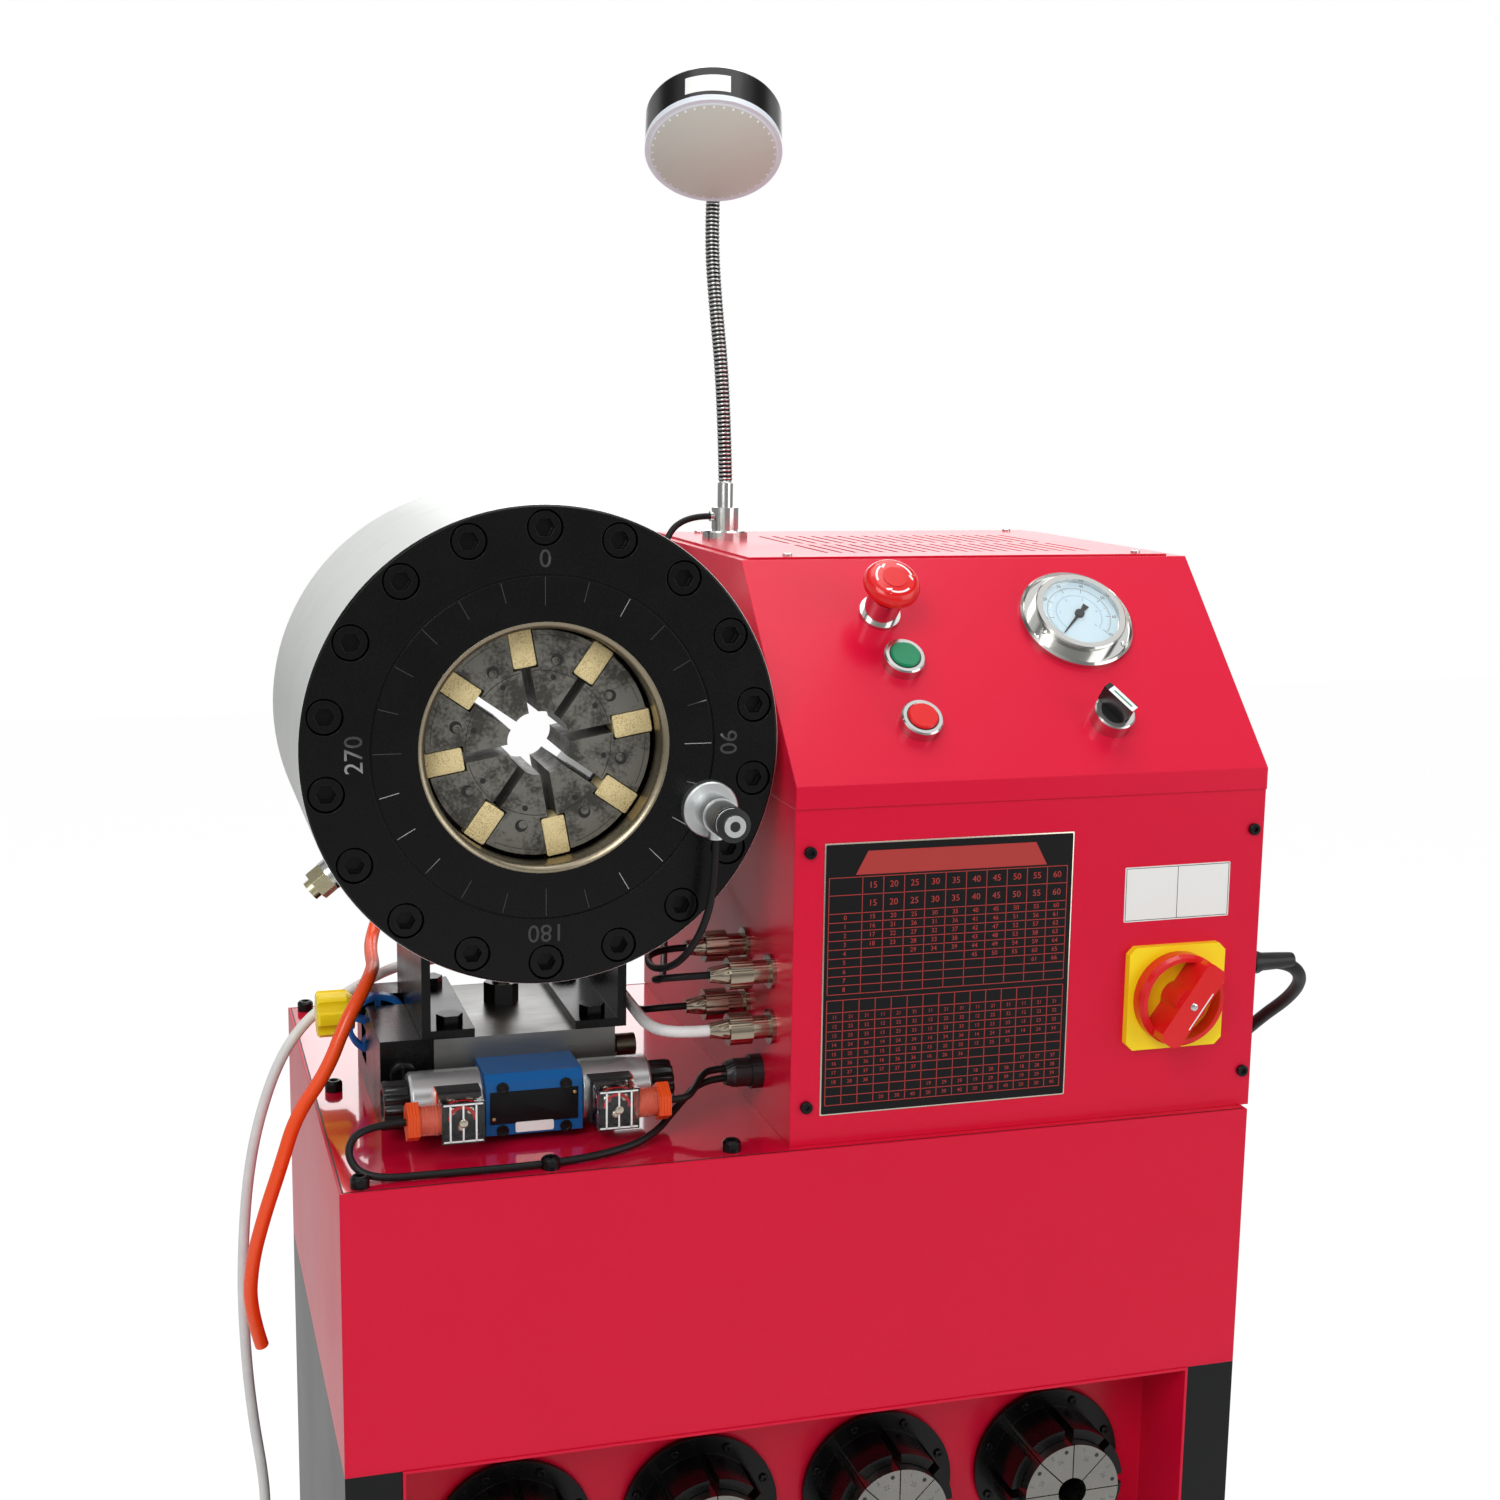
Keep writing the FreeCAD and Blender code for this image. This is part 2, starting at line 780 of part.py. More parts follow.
def make_jaws():
    """Eight master jaws with their die segments, cut from two shared rings and set out at rest."""
    front = jaw_setback
    shoulder = cap_thickness - cap_recess_depth + clearance
    at = (head_x, head_y, head_z)
    master_outline = [
        (die_radius, front),
        (jaw_front_radius, front),
        (jaw_front_radius, shoulder),
        (cone_radius(shoulder), shoulder),
        (cone_radius(jaw_back), jaw_back),
        (die_radius, jaw_back),
    ]
    die_outline = [
        (die_bore, front),
        (die_radius, front),
        (die_radius, front + die_length),
        (die_bore, front + die_length),
    ]
    ring = turned("master_ring", master_outline, at, BACK)
    dies = turned("die_ring", die_outline, at, BACK)
    closing = jaw_travel * math.sin(math.radians(JAW_STEP / 2))
    notch = foam_width / 2 + clearance - closing
    start = foam_inner_radius - jaw_travel
    notches = [
        spoke_box(f"foam_notch_{index + 1}", (head_x, head_y + front - 1, head_z), start, foam_height + jaw_travel * 2,
                  FIRST_GAP + index * JAW_STEP, notch * 2, foam_depth + clearance * 2 + 1)
        for index in range(JAWS)
    ]
    ring = cut("notched_ring", ring, *notches)
    jaws = []
    for index in range(JAWS):
        degrees = FIRST_JAW + index * JAW_STEP
        across, up = direction(degrees)
        pieces = []
        for kind, shared in (("master", ring), ("die", dies)):
            name = f"{kind}_{index + 1}"
            reach = jaw_shoulder_radius + 20
            wedge = sector(name + "_wedge", jaw_side_gap / 2, reach, jaw_back, JAW_STEP / 2)
            place(wedge, (head_x, head_y + 1, head_z), clock(degrees + FULL_TURN / 2))
            pieces.append(common(name, shared, wedge))
        jaw = group(f"jaw_{index + 1}", *pieces)
        jaws.append(place(jaw, (jaw_travel * across, 0, jaw_travel * up)))
    return jaws


def make_foam_blocks():
    """Soft blocks between the jaws that push them apart."""
    blocks = [
        spoke_box(f"foam_{index + 1}", (head_x, head_y + jaw_setback + clearance, head_z),
                  foam_inner_radius + clearance, foam_height, FIRST_GAP + index * JAW_STEP, foam_width, foam_depth)
        for index in range(JAWS)
    ]
    return group("foam_blocks", *blocks)


def make_head_brackets():
    """Two plates with feet that carry the barrel on the block, drilled for its bolts."""
    pieces = []
    y = manifold_y - 1
    for side, x, foot_x in (
        ("left", head_x - bracket_spread / 2, head_x - bracket_spread / 2),
        ("right", head_x + bracket_spread / 2 - bracket_thickness, head_x + bracket_spread / 2 - bracket_foot),
    ):
        plate = block(f"bracket_plate_{side}", (x, y + 1, manifold_top), (bracket_thickness, bracket_depth, head_radius))
        foot = block(f"bracket_foot_{side}", (foot_x, y + 1, manifold_top), (bracket_foot, bracket_depth, bracket_thickness))
        solid = fuse(f"bracket_{side}_solid", plate, foot)
        barrel_space = rod(f"barrel_space_{side}", (head_x, head_y, head_z), head_radius, 2 * head_length, BACK)
        holes = [
            rod(f"bracket_hole_{side}_{end}", (bolt_x, bolt_y, manifold_top), bracket_bolt_radius + clearance, bracket_thickness)
            for bolt_side, end, bolt_x, bolt_y in bracket_bolt_places()
            if bolt_side == side
        ]
        pieces.append(cut(f"bracket_{side}", solid, barrel_space, *holes))
    return group("head_brackets", *pieces)


def bracket_bolt_places():
    """Side, end and place of each bolt that holds a bracket to the block."""
    inset = bracket_spread / 2 - (bracket_foot + bracket_thickness) / 2
    return [
        (side, end, x, y)
        for side, x in (("left", head_x - inset), ("right", head_x + inset))
        for end, y in (("front", manifold_y + bracket_bolt_across), ("back", manifold_y + manifold_depth - bracket_bolt_across))
    ]


def make_bracket_bolts():
    bolts = []
    for side, end, x, y in bracket_bolt_places():
        name = f"bracket_bolt_{side}_{end}"
        foot_top = manifold_top + bracket_thickness
        head = hexagon(name + "_head", (x, y, foot_top), bracket_bolt_across, bracket_bolt_head)
        shank = rod(name + "_shank", (x, y, foot_top), bracket_bolt_radius, bracket_bolt_across + bracket_thickness, DOWN)
        bolts.append(fuse(name, head, shank))
    return group("bracket_bolts", *bolts)


# Valve block


def make_manifold_block():
    """The drilled steel block that carries the head and feeds it."""
    solid = block("manifold_solid", (manifold_x, manifold_y, table_height), (manifold_width, manifold_depth, manifold_height))
    holes = [
        rod(f"tapped_{side}_{end}", (x, y, manifold_top), bracket_bolt_radius + running_fit, bracket_bolt_across + 2, DOWN)
        for side, end, x, y in bracket_bolt_places()
    ]
    return cut("manifold_block", solid, *holes)


valve_x = head_x - valve_shift - valve_width / 2
valve_y = manifold_y - valve_depth
valve_z = table_height + valve_lift
coil_y = valve_y + valve_depth / 2
coil_z = valve_z + valve_height / 2
plug_z = coil_z
plug_back = coil_y - coil_radius - plug_base * 0.7


def make_valve_body():
    """The directional valve on the block's front, with a core tube out of each side."""
    outline = [
        (valve_y, valve_z),
        (manifold_y, valve_z),
        (manifold_y, valve_z + valve_height),
        (valve_y + valve_chamfer, valve_z + valve_height),
        (valve_y, valve_z + valve_height - valve_chamfer),
    ]
    solid = pressed("valve_solid", outline, valve_width, (valve_x, 0, 0), SIDEWAYS)
    reach = valve_width + 2 * (coil_length + coil_nut_length * 0.7)
    core = rod("valve_core", (valve_x - reach / 2 + valve_width / 2, coil_y, coil_z), coil_nut_radius / 2, reach, RIGHT)
    return fuse("valve_body", solid, core)


SIDEWAYS = Rotation(Vector(1, 1, 1), 120)


def make_solenoid_coils():
    core = coil_nut_radius / 2 + running_fit
    coils = []
    for side, x, turn in (("left", valve_x, LEFT), ("right", valve_x + valve_width, RIGHT)):
        outline = [
            (core, 0),
            (coil_radius - edge_break, 0),
            (coil_radius, edge_break),
            (coil_radius, coil_length - edge_break),
            (coil_radius - edge_break, coil_length),
            (core, coil_length),
        ]
        coils.append(turned(f"coil_{side}", outline, (x, coil_y, coil_z), turn))
    return group("solenoid_coils", *coils)


def make_coil_nuts():
    core = coil_nut_radius / 2 + running_fit
    nuts = []
    for side, x, turn in (("left", valve_x - coil_length, LEFT), ("right", valve_x + valve_width + coil_length, RIGHT)):
        outline = [
            (core, 0),
            (coil_nut_radius, 0),
            (coil_nut_radius, coil_nut_length - edge_break),
            (coil_nut_radius - edge_break, coil_nut_length),
            (0, coil_nut_length),
            (0, coil_nut_length * 0.7 + clearance),
            (core, coil_nut_length * 0.7 + clearance),
        ]
        nuts.append(turned(f"coil_nut_{side}", outline, (x, coil_y, coil_z), turn))
    return group("coil_nuts", *nuts)


def plug_places():
    """Side, middle across and pointing direction of each coil plug."""
    offset = plug_size / 2 + 5
    return (("left", valve_x - offset, LEFT, -1), ("right", valve_x + valve_width + offset, RIGHT, 1))


def make_din_plugs():
    """Square coil plugs: a saddle base on the coil, a clear housing, a gland neck and its nut."""
    plugs = []
    for side, x, turn, sign in plug_places():
        low_x = x - plug_size / 2
        name = "plug_" + side
        base = block(name + "_base", (low_x - 1, plug_back, plug_z - plug_size / 2 - 1),
                     (plug_size + 2, plug_base + 6, plug_size + 2))
        saddle = rod(name + "_saddle", (x - plug_size, coil_y, coil_z), coil_radius + 2 * running_fit, 2 * plug_size, RIGHT)
        base = cut(name + "_foot", base, saddle)
        house = block(name + "_house", (low_x, plug_back - plug_length + 6, plug_z - plug_size / 2),
                      (plug_size, plug_length - 6, plug_size))
        gland_y = plug_back - (plug_length - 6) / 2
        neck = rod(name + "_neck", (x, gland_y, plug_z), plug_gland_radius, plug_size / 2 + plug_gland_length, turn)
        nut_x = x + sign * (plug_size / 2 + plug_gland_length)
        nut = hexagon(name + "_nut", (nut_x, gland_y, plug_z), plug_nut_across, plug_nut_length, turn)
        plugs.append(fuse(name, base, house, neck, nut))
    return group("din_plugs", *plugs)


relief_x = manifold_x - relief_width
relief_y = manifold_y + 4.5
wheel_x = relief_x + 10
wheel_z = table_height + handwheel_height
step_y = relief_y + relief_depth
knob_y = step_y + step_length + riser_length / 2


def make_relief_block():
    """The pressure-setting block beside the manifold, with a low step under its handwheel."""
    top = table_height + relief_height
    outline = [
        (relief_y, table_height),
        (step_y + step_length + riser_length, table_height),
        (step_y + step_length + riser_length, top),
        (step_y + step_length, top),
        (step_y + step_length, table_height + relief_step_height),
        (step_y, table_height + relief_step_height),
        (step_y, top),
        (relief_y, top),
    ]
    solid = pressed("relief_solid", outline, relief_width, (relief_x, 0, 0), SIDEWAYS)
    plug = rod("relief_front_plug", (relief_x + 15, relief_y, table_height + 40), 8.5, 4, FRONT)
    wheel_spindle = rod("wheel_spindle", (wheel_x, step_y, wheel_z), spindle_radius, spindle_length + 6, BACK)
    knob_spindle = rod("knob_spindle", (relief_x, knob_y, wheel_z), spindle_radius, spindle_length + 6, LEFT)
    return fuse("relief_block", solid, plug, wheel_spindle, knob_spindle)


def make_blue_handwheel():
    """A star handwheel with five windows."""
    hub = spindle_radius + 4
    bore = spindle_radius + running_fit
    start = spindle_length - handwheel_thickness / 2
    outline = [
        (bore, start),
        (handwheel_radius - edge_break, start),
        (handwheel_radius, start + edge_break),
        (handwheel_radius, start + handwheel_thickness - edge_break),
        (handwheel_radius - edge_break, start + handwheel_thickness),
        (0, start + handwheel_thickness),
        (0, spindle_length + 6 + clearance),
        (bore, spindle_length + 6 + clearance),
    ]
    outline[5] = (0, spindle_length + 10)
    outline.insert(5, (hub, start + handwheel_thickness))
    outline.insert(6, (hub, spindle_length + 10))
    at = (wheel_x, step_y, wheel_z)
    disc = turned("blue_wheel_disc", outline, at, BACK)
    window_outline = [
        (hub + 1, start - 1),
        (handwheel_radius - 4, start - 1),
        (handwheel_radius - 4, start + handwheel_thickness + 1),
        (hub + 1, start + handwheel_thickness + 1),
    ]
    ring = turned("blue_wheel_windows", window_outline, at, BACK)
    windows = []
    for index in range(5):
        wedge = sector(f"window_wedge_{index + 1}", 1.6, handwheel_radius, spindle_length + 16, FULL_TURN / 10)
        place(wedge, at, clock(index * FULL_TURN / 5))
        windows.append(common(f"window_{index + 1}", ring, wedge))
    return cut("blue_handwheel", disc, *windows)


def make_yellow_handwheel():
    """A lobed knob on the side spindle."""
    bore = spindle_radius + running_fit
    start = 4
    outline = [
        (bore, start),
        (knob_radius - 5, start),
        (knob_radius, start + 6),
        (knob_radius, start + knob_length - edge_break),
        (knob_radius - edge_break, start + knob_length),
        (0, start + knob_length),
        (0, spindle_length + 6 + clearance),
        (bore, spindle_length + 6 + clearance),
    ]
    at = (relief_x, knob_y, wheel_z)
    solid = turned("yellow_knob", outline, at, LEFT)
    flutes = []
    for index in range(6):
        across, up = direction(index * FULL_TURN / 6)
        reach = knob_radius + 3
        flute_at = (relief_x - start, knob_y + reach * across, wheel_z + reach * up)
        flutes.append(rod(f"flute_{index + 1}", flute_at, 6, knob_length + 2, LEFT))
    return cut("yellow_handwheel", solid, *flutes)


# Console


def make_electrics_case():
    """The case beside the head: a folded box with a window behind the front panel and cable holes."""
    t = sheet_thickness
    y = console_y + t
    depth = console_depth - t
    outside = block("case_outside", (console_x, y, table_height), (console_width, depth, panel_height))
    inside = block("case_inside", (console_x + t, y + t, table_height + t),
                   (console_width - 2 * t, depth - 2 * t, panel_height))
    flange = 16
    window = block("case_window", (console_x + flange, y - 1, table_height + flange),
                   (console_width - 2 * flange, t + 2, panel_height))
    holes = [
        rod(f"case_hole_{index + 1}", (console_x - 1, hole_y, hole_z), connector_radius, t + 2, RIGHT)
        for index, (hole_y, hole_z) in enumerate(connector_places())
    ]
    holes.append(rod("power_hole", (console_x + console_width - t - 1, power_y, power_z), connector_radius, t + 2, RIGHT))
    return cut("electrics_case", outside, inside, window, *holes)


power_y = console_y + driving("power_entry_back", 50)
power_z = table_height + driving("power_entry_up", 90)


def connector_places():
    """Places of the four round connectors and the gland on the case's left side."""
    near = console_y + connector_near
    far = console_y + connector_far
    high = table_height + connector_high
    low = table_height + connector_low
    return [
        (far, high + 3),
        (near, high),
        (far - 1, low - 0.8),
        (near - 2, low),
        (console_y + gland_across, table_height + gland_up),
    ]


def make_front_panel():
    size = (console_width, sheet_thickness, panel_height)
    panel = block("panel_sheet", (console_x, console_y, table_height), size)
    hole = rod("isolator_hole", (isolator_x, console_y - 1, isolator_z),
               control_radius + running_fit * 2, sheet_thickness + 2, BACK)
    return cut("front_panel", panel, hole)


def make_console_cover():
    """The folded cover with the sloping panel, open underneath and drilled for the controls."""
    t = sheet_thickness
    foot_y = slope_foot_y
    foot_z = slope_foot_z
    crest_y = foot_y + slope_run
    back = console_back
    outline = [
        (foot_y, panel_top),
        (foot_y, foot_z),
        (crest_y, console_top),
        (back, console_top),
        (back, panel_top),
    ]
    slant = t * slope_length / slope_run
    tangent = slope_rise / slope_run
    inner_foot_z = foot_z + t * tangent - slant
    inner_crest_y = foot_y + (console_top - t - foot_z + slant) / tangent
    inner = [
        (foot_y + t, panel_top - 1),
        (foot_y + t, inner_foot_z),
        (inner_crest_y, console_top - t),
        (back - t, console_top - t),
        (back - t, panel_top - 1),
    ]
    solid = pressed("cover_outside", outline, console_width, (console_x, 0, 0), SIDEWAYS)
    space = pressed("cover_inside", inner, console_width - 2 * t, (console_x + t, 0, 0), SIDEWAYS)
    margin = 34
    opening = block("cover_vent", (console_x + margin + 36, crest_y + margin, console_top - t - 1),
                    (console_width - 2 * margin - 36, slot_length * 2 + 22, t + 2))
    holes = [
        rod(f"control_hole_{index + 1}", (across, up, -2 * t), radius + running_fit * 2, 3 * t)
        for index, (across, up, radius) in enumerate(control_places())
    ]
    return cut("console_cover", solid, space, opening, sloped("cover_holes", *holes))


def control_places():
    """Across, up and hole radius of each control on the slope."""
    return [
        (control_column, open_button_up, control_radius),
        (control_column, close_button_up, control_radius),
        (stop_button_across, stop_button_up, control_radius),
        (gauge_column, gauge_up, gauge_case_radius - 3),
        (gauge_column, selector_up, control_radius),
    ]


def make_vent_lid():
    """The slotted lid on top of the console."""
    crest_y = slope_foot_y + slope_run
    low = (console_x + 7, crest_y + 5, console_top)
    size = (console_width - 20, console_depth - slope_run - 10, lid_thickness)
    plate = block("lid_plate", low, size)
    slots = []
    columns = 20
    for row in range(2):
        for column in range(columns):
            x = console_x + 76 + column * slot_pitch
            y = crest_y + 40 + row * (slot_length + 14)
            slots.append(block(f"slot_{row + 1}_{column + 1}", (x, y, console_top - 1),
                               (slot_width, slot_length, lid_thickness + 2)))
    return cut("vent_lid", plate, *slots)


def sleeve(name, across, up, outline):
    return turned(name, outline, (across, up, 0))


def make_control_bezels():
    """The fixed collars of the stop button, the two push buttons and the selector."""
    stem = spindle_radius + running_fit
    bore = button_radius + running_fit
    ring = [
        (stem, -20),
        (control_radius, -20),
        (control_radius, 0),
        (bezel_radius, 0),
        (bezel_radius, bezel_height - 1),
        (bezel_radius - 1, bezel_height),
        (bore, bezel_height),
        (bore, 2),
        (stem, 2),
    ]
    selector_ring = [
        (stem, -20),
        (control_radius, -20),
        (control_radius, 0),
        (bezel_radius, 0),
        (bezel_radius, bezel_height + 2),
        (bezel_radius - 1, bezel_height + 3),
        (bore, bezel_height + 3),
        (bore, 3),
        (stem, 3),
    ]
    collar = [
        (stem, -20),
        (control_radius, -20),
        (control_radius, 0),
        (bezel_radius, 0),
        (bezel_radius, 3),
        (12.5, 3),
        (12.5, stop_collar_height),
        (stem, stop_collar_height),
    ]
    return sloped(
        "control_bezels",
        sleeve("open_bezel", control_column, open_button_up, ring),
        sleeve("close_bezel", control_column, close_button_up, ring),
        sleeve("stop_collar", stop_button_across, stop_button_up, collar),
        sleeve("selector_bezel", gauge_column, selector_up, selector_ring),
    )


def make_button(name, across, up):
    rest = 2 + button_travel + clearance
    outline = [
        (0, -15),
        (spindle_radius, -15),
        (spindle_radius, rest),
        (button_radius, rest),
        (button_radius, bezel_height + 1),
        (button_radius - 1, bezel_height + 2),
        (0, bezel_height + 2),
    ]
    return sloped(name, sleeve(name + "_plunger", across, up, outline))


def make_estop_mushroom():
    """The mushroom head with its raised middle."""
    under = stop_collar_height + stop_travel + clearance
    top = under + stop_head_height
    outline = [
        (0, -15),
        (spindle_radius, -15),
        (spindle_radius, under),
        (stop_head_radius - 6, under),
        (stop_head_radius, under + 4),
        (stop_head_radius, under + 7, -1.2),
        (stop_head_radius - 6, top - 1),
        (8.5, top - 0.5),
        (8.5, top),
        (0, top),
    ]
    return sloped("estop_mushroom", sleeve("stop_head", stop_button_across, stop_button_up, outline))


SELECTOR_TURN = 32


def make_selector_lever():
    """A round base with a tapered finger that points up and to the left."""
    start = 3 + clearance
    outline = [
        (0, -15),
        (spindle_radius, -15),
        (spindle_radius, start),
        (button_radius, start),
        (button_radius, bezel_height + 3 + clearance),
        (0, bezel_height + 3 + clearance),
    ]
    base = sleeve("selector_base", gauge_column, selector_up, outline)
    half = selector_width / 2
    finger_outline = [
        (-half, -10),
        (half, -10),
        (half - 1, selector_length - 10),
        (1 - half, selector_length - 10),
    ]
    at = (gauge_column, selector_up, bezel_height + 3 + clearance)
    finger = pressed("selector_finger", finger_outline, selector_height, at, Rotation(Vector(0, 0, 1), SELECTOR_TURN))
    return sloped("selector_lever", fuse("selector_solid", base, finger))


POINTER_TURN = 135


def make_gauge_case():
    """The gauge: back can, flange with a rolled rim, bezel and dial."""
    staff = 1.5 + running_fit
    can = gauge_case_radius - 3
    dial = gauge_height - 5
    outline = [
        (staff, -gauge_back_length),
        (can, -gauge_back_length),
        (can, 0),
        (gauge_flange_radius, 0),
        (gauge_flange_radius, 4),
        (gauge_flange_radius - 1.5, 5.5),
        (gauge_flange_radius - 3, 4),
        (gauge_flange_radius - 3, 3),
        (gauge_case_radius, 3),
        (gauge_case_radius, gauge_height - 1),
        (gauge_case_radius - 1, gauge_height),
        (gauge_dial_radius, gauge_height),
        (gauge_dial_radius, dial),
        (staff, dial),
    ]
    return sloped("gauge_case", sleeve("gauge_body", gauge_column, gauge_up, outline))


def make_gauge_pointer():
    dial = gauge_height - 5
    outline = [(0, -5), (1.5, -5), (1.5, dial + clearance), (3.5, dial + clearance), (3.5, dial + 2), (0, dial + 2)]
    staff = sleeve("pointer_staff", gauge_column, gauge_up, outline)
    blade_outline = [(-1.3, 0), (1.3, 0), (0.3, pointer_length), (-0.3, pointer_length)]
    at = (gauge_column, gauge_up, dial + 0.6)
    blade = pressed("pointer_blade", blade_outline, 0.8, at, Rotation(Vector(0, 0, 1), POINTER_TURN))
    tail_outline = [(-0.8, 0), (0.8, 0), (2.4, 10), (-2.4, 10)]
    tail = pressed("pointer_tail", tail_outline, 0.8, at, Rotation(Vector(0, 0, 1), POINTER_TURN + 180))
    return sloped("gauge_pointer", fuse("pointer_solid", staff, blade, tail))




def make_isolator_plate():
    """The square base of the main switch, with its bush through the panel."""
    half = isolator_plate_size / 2
    corner = 5
    thickness = isolator_plate_thickness - 3
    outline = [
        (corner - half, -half),
        (half - corner, -half),
        (half, corner - half),
        (half, half - corner),
        (half - corner, half),
        (corner - half, half),
        (-half, half - corner),
        (-half, corner - half),
    ]
    plate = pressed("isolator_square", outline, thickness, (isolator_x, console_y, isolator_z), FRONT)
    bush = rod("isolator_bush", (isolator_x, console_y, isolator_z), control_radius, 25, BACK)
    bore = rod("isolator_bore", (isolator_x, console_y - 10, isolator_z), spindle_radius + running_fit, 40, BACK)
    return cut("isolator_plate", fuse("isolator_base", plate, bush), bore)


def make_isolator_knob():
    """The main switch's ring and grip."""
    thickness = isolator_plate_thickness - 3
    face = console_y - thickness - clearance
    at = (isolator_x, face, isolator_z)
    rim = [
        (isolator_radius - 5, 0),
        (isolator_radius, 0),
        (isolator_radius, 9),
        (isolator_radius - 2, 12),
        (isolator_radius - 5, 12),
    ]
    ring = turned("isolator_rim", rim, at, FRONT)
    hub = turned("isolator_hub", [(0, -20 - thickness), (spindle_radius, -20 - thickness), (spindle_radius, 0), (12, 0),
                                  (12, isolator_height - 4), (0, isolator_height - 4)], at, FRONT)
    half = isolator_grip_width / 2
    reach = isolator_radius - 1
    grip_outline = [
        (-half, -reach + 4),
        (4 - half, -reach),
        (half - 4, -reach),
        (half, -reach + 4),
        (half, reach - 4),
        (half - 4, reach),
        (4 - half, reach),
        (-half, reach - 4),
    ]
    turn = Rotation(Vector(0, 1, 0), 35).multiply(FRONT)
    grip = pressed("isolator_grip", grip_outline, isolator_height, at, turn)
    return fuse("isolator_knob", ring, hub, grip)


def make_connectors():
    """Four round screw connectors and one gland on the case's left side."""
    pieces = []
    neck = connector_radius - running_fit * 2
    for index, (y, z) in enumerate(connector_places()):
        if index < 4:
            outline = [
                (0, -12),
                (neck, -12),
                (neck, 0),
                (connector_radius + 4, 0),
                (connector_radius + 4, 3),
                (connector_radius, 3),
                (connector_radius, 16),
                (connector_radius + 3, 16),
                (connector_radius + 3, 32),
                (connector_radius - 1, 32),
                (connector_radius - 3, connector_length),
                (0, connector_length),
            ]
        else:
            outline = [
                (0, -12),
                (neck, -12),
                (neck, 0),
                (gland_radius + 2, 0),
                (gland_radius + 2, 8),
                (gland_radius, 8),
                (gland_radius, 20),
                (gland_radius - 2, 26),
                (0, 26),
            ]
        pieces.append(turned(f"connector_{index + 1}", outline, (console_x, y, z), LEFT))
    return group("connectors", *pieces)


def make_hose_fittings():
    """Pipe fittings on the block and barrel, and the glands of the power and white cables."""
    pieces = []
    barrel_space = rod("fitting_space", (head_x, head_y, head_z), head_radius, head_length * 2, BACK)
    feed_x = head_x - 3
    feed_y = head_y + 154
    feed_nut = hexagon("feed_nut", (feed_x, feed_y, manifold_top), 22, 15)
    feed_stud = rod("feed_stud", (feed_x, feed_y, manifold_top), 6.5, 62)
    pieces.append(cut("feed_fitting", fuse("feed_solid", feed_nut, feed_stud), barrel_space))
    side = Rotation(Vector(0, 1, 0), SIDE_PORT)
    across, up = direction(SIDE_PORT)
    start = head_radius - 2
    at = (head_x + start * across, head_y + 117, head_z + start * up)
    boss = rod("side_boss", at, 11, 11, side)
    nut = hexagon("side_nut", at, 19, 22, side)
    tip = rod("side_tip", at, 7, 27, side)
    port_space = rod("port_space", (head_x, head_y, head_z), head_radius, head_length * 2, BACK)
    pieces.append(cut("side_fitting", fuse("side_solid", boss, nut, tip), port_space))
    right = manifold_x + manifold_width
    grip = rod("bleed_grip", (right + 5, manifold_y + 23, table_height + 42), 8, 14, RIGHT)
    stem = rod("bleed_stem", (right, manifold_y + 23, table_height + 42), 5, 10, RIGHT)
    pieces.append(fuse("bleed_plug", grip, stem))
    power_outline = [
        (0, -12),
        (connector_radius - running_fit * 2, -12),
        (connector_radius - running_fit * 2, 0),
        (gland_radius + 2, 0),
        (gland_radius + 2, 8),
        (gland_radius, 8),
        (gland_radius - 2, 26),
        (0, 26),
    ]
    right_wall = console_x + console_width
    pieces.append(turned("power_gland", power_outline, (right_wall, power_y, power_z), RIGHT))
    cable_outline = [(0, 0), (10, 0), (10, 5), (7, 10), (0, 10)]
    pieces.append(turned("cable_gland", cable_outline, (left_side, WHITE_ENTRY[1], WHITE_ENTRY[2]), LEFT))
    rear = head_y + head_length
    for name, x, z in (("drain_barb", DRAIN_START[0], DRAIN_START[2]), ("sensor", SENSOR[0], SENSOR[2])):
        outline = [(0, 0), (9, 0), (9, 8), (barb_radius, 8), (barb_radius, barb_length), (0, barb_length)]
        pieces.append(turned(name, outline, (x, rear, z), BACK))
    return group("hose_fittings", *pieces)


SIDE_PORT = 231
WHITE_ENTRY = (-330, 40, 370)
DRAIN_START = (-232, 64, 945)
SENSOR = (-100, 64, 1010)

# Micrometer and lamp

micrometer_x = head_x + micrometer_across
micrometer_z = head_z - micrometer_drop


def make_micrometer_base():
    """The flanged bush of the stop micrometer, with its cable entry underneath."""
    outline = [
        (0, 0),
        (micrometer_disc_radius, 0),
        (micrometer_disc_radius, 7),
        (micrometer_disc_radius - 1, 8),
        (thimble_radius + 1, 8),
        (thimble_radius + 1, 30),
        (4, 30),
        (4, 46),
        (0, 46),
    ]
    body = turned("micrometer_bush", outline, (micrometer_x, head_y, micrometer_z), FRONT)
    boss = rod("micrometer_boss", (micrometer_x, head_y - 19, micrometer_z), 5, 17, DOWN)
    return fuse("micrometer_base", body, boss)


def make_micrometer_thimble():
    bore = 4 + running_fit
    start = 30 + clearance
    outline = [
        (bore, start),
        (thimble_radius, start),
        (thimble_radius, start + thimble_length - 1),
        (thimble_radius - 1, start + thimble_length),
        (7, start + thimble_length),
        (7, start + thimble_length + 9),
        (0, start + thimble_length + 9),
        (0, 46 + clearance),
        (bore, 46 + clearance),
    ]
    return turned("micrometer_thimble", outline, (micrometer_x, head_y, micrometer_z), FRONT)


lamp_x = console_x + lamp_across + 2
lamp_y = console_y + lamp_back
lamp_z = console_top + lid_thickness
neck_foot = lamp_z + lamp_stem_height + lamp_ferrule_height


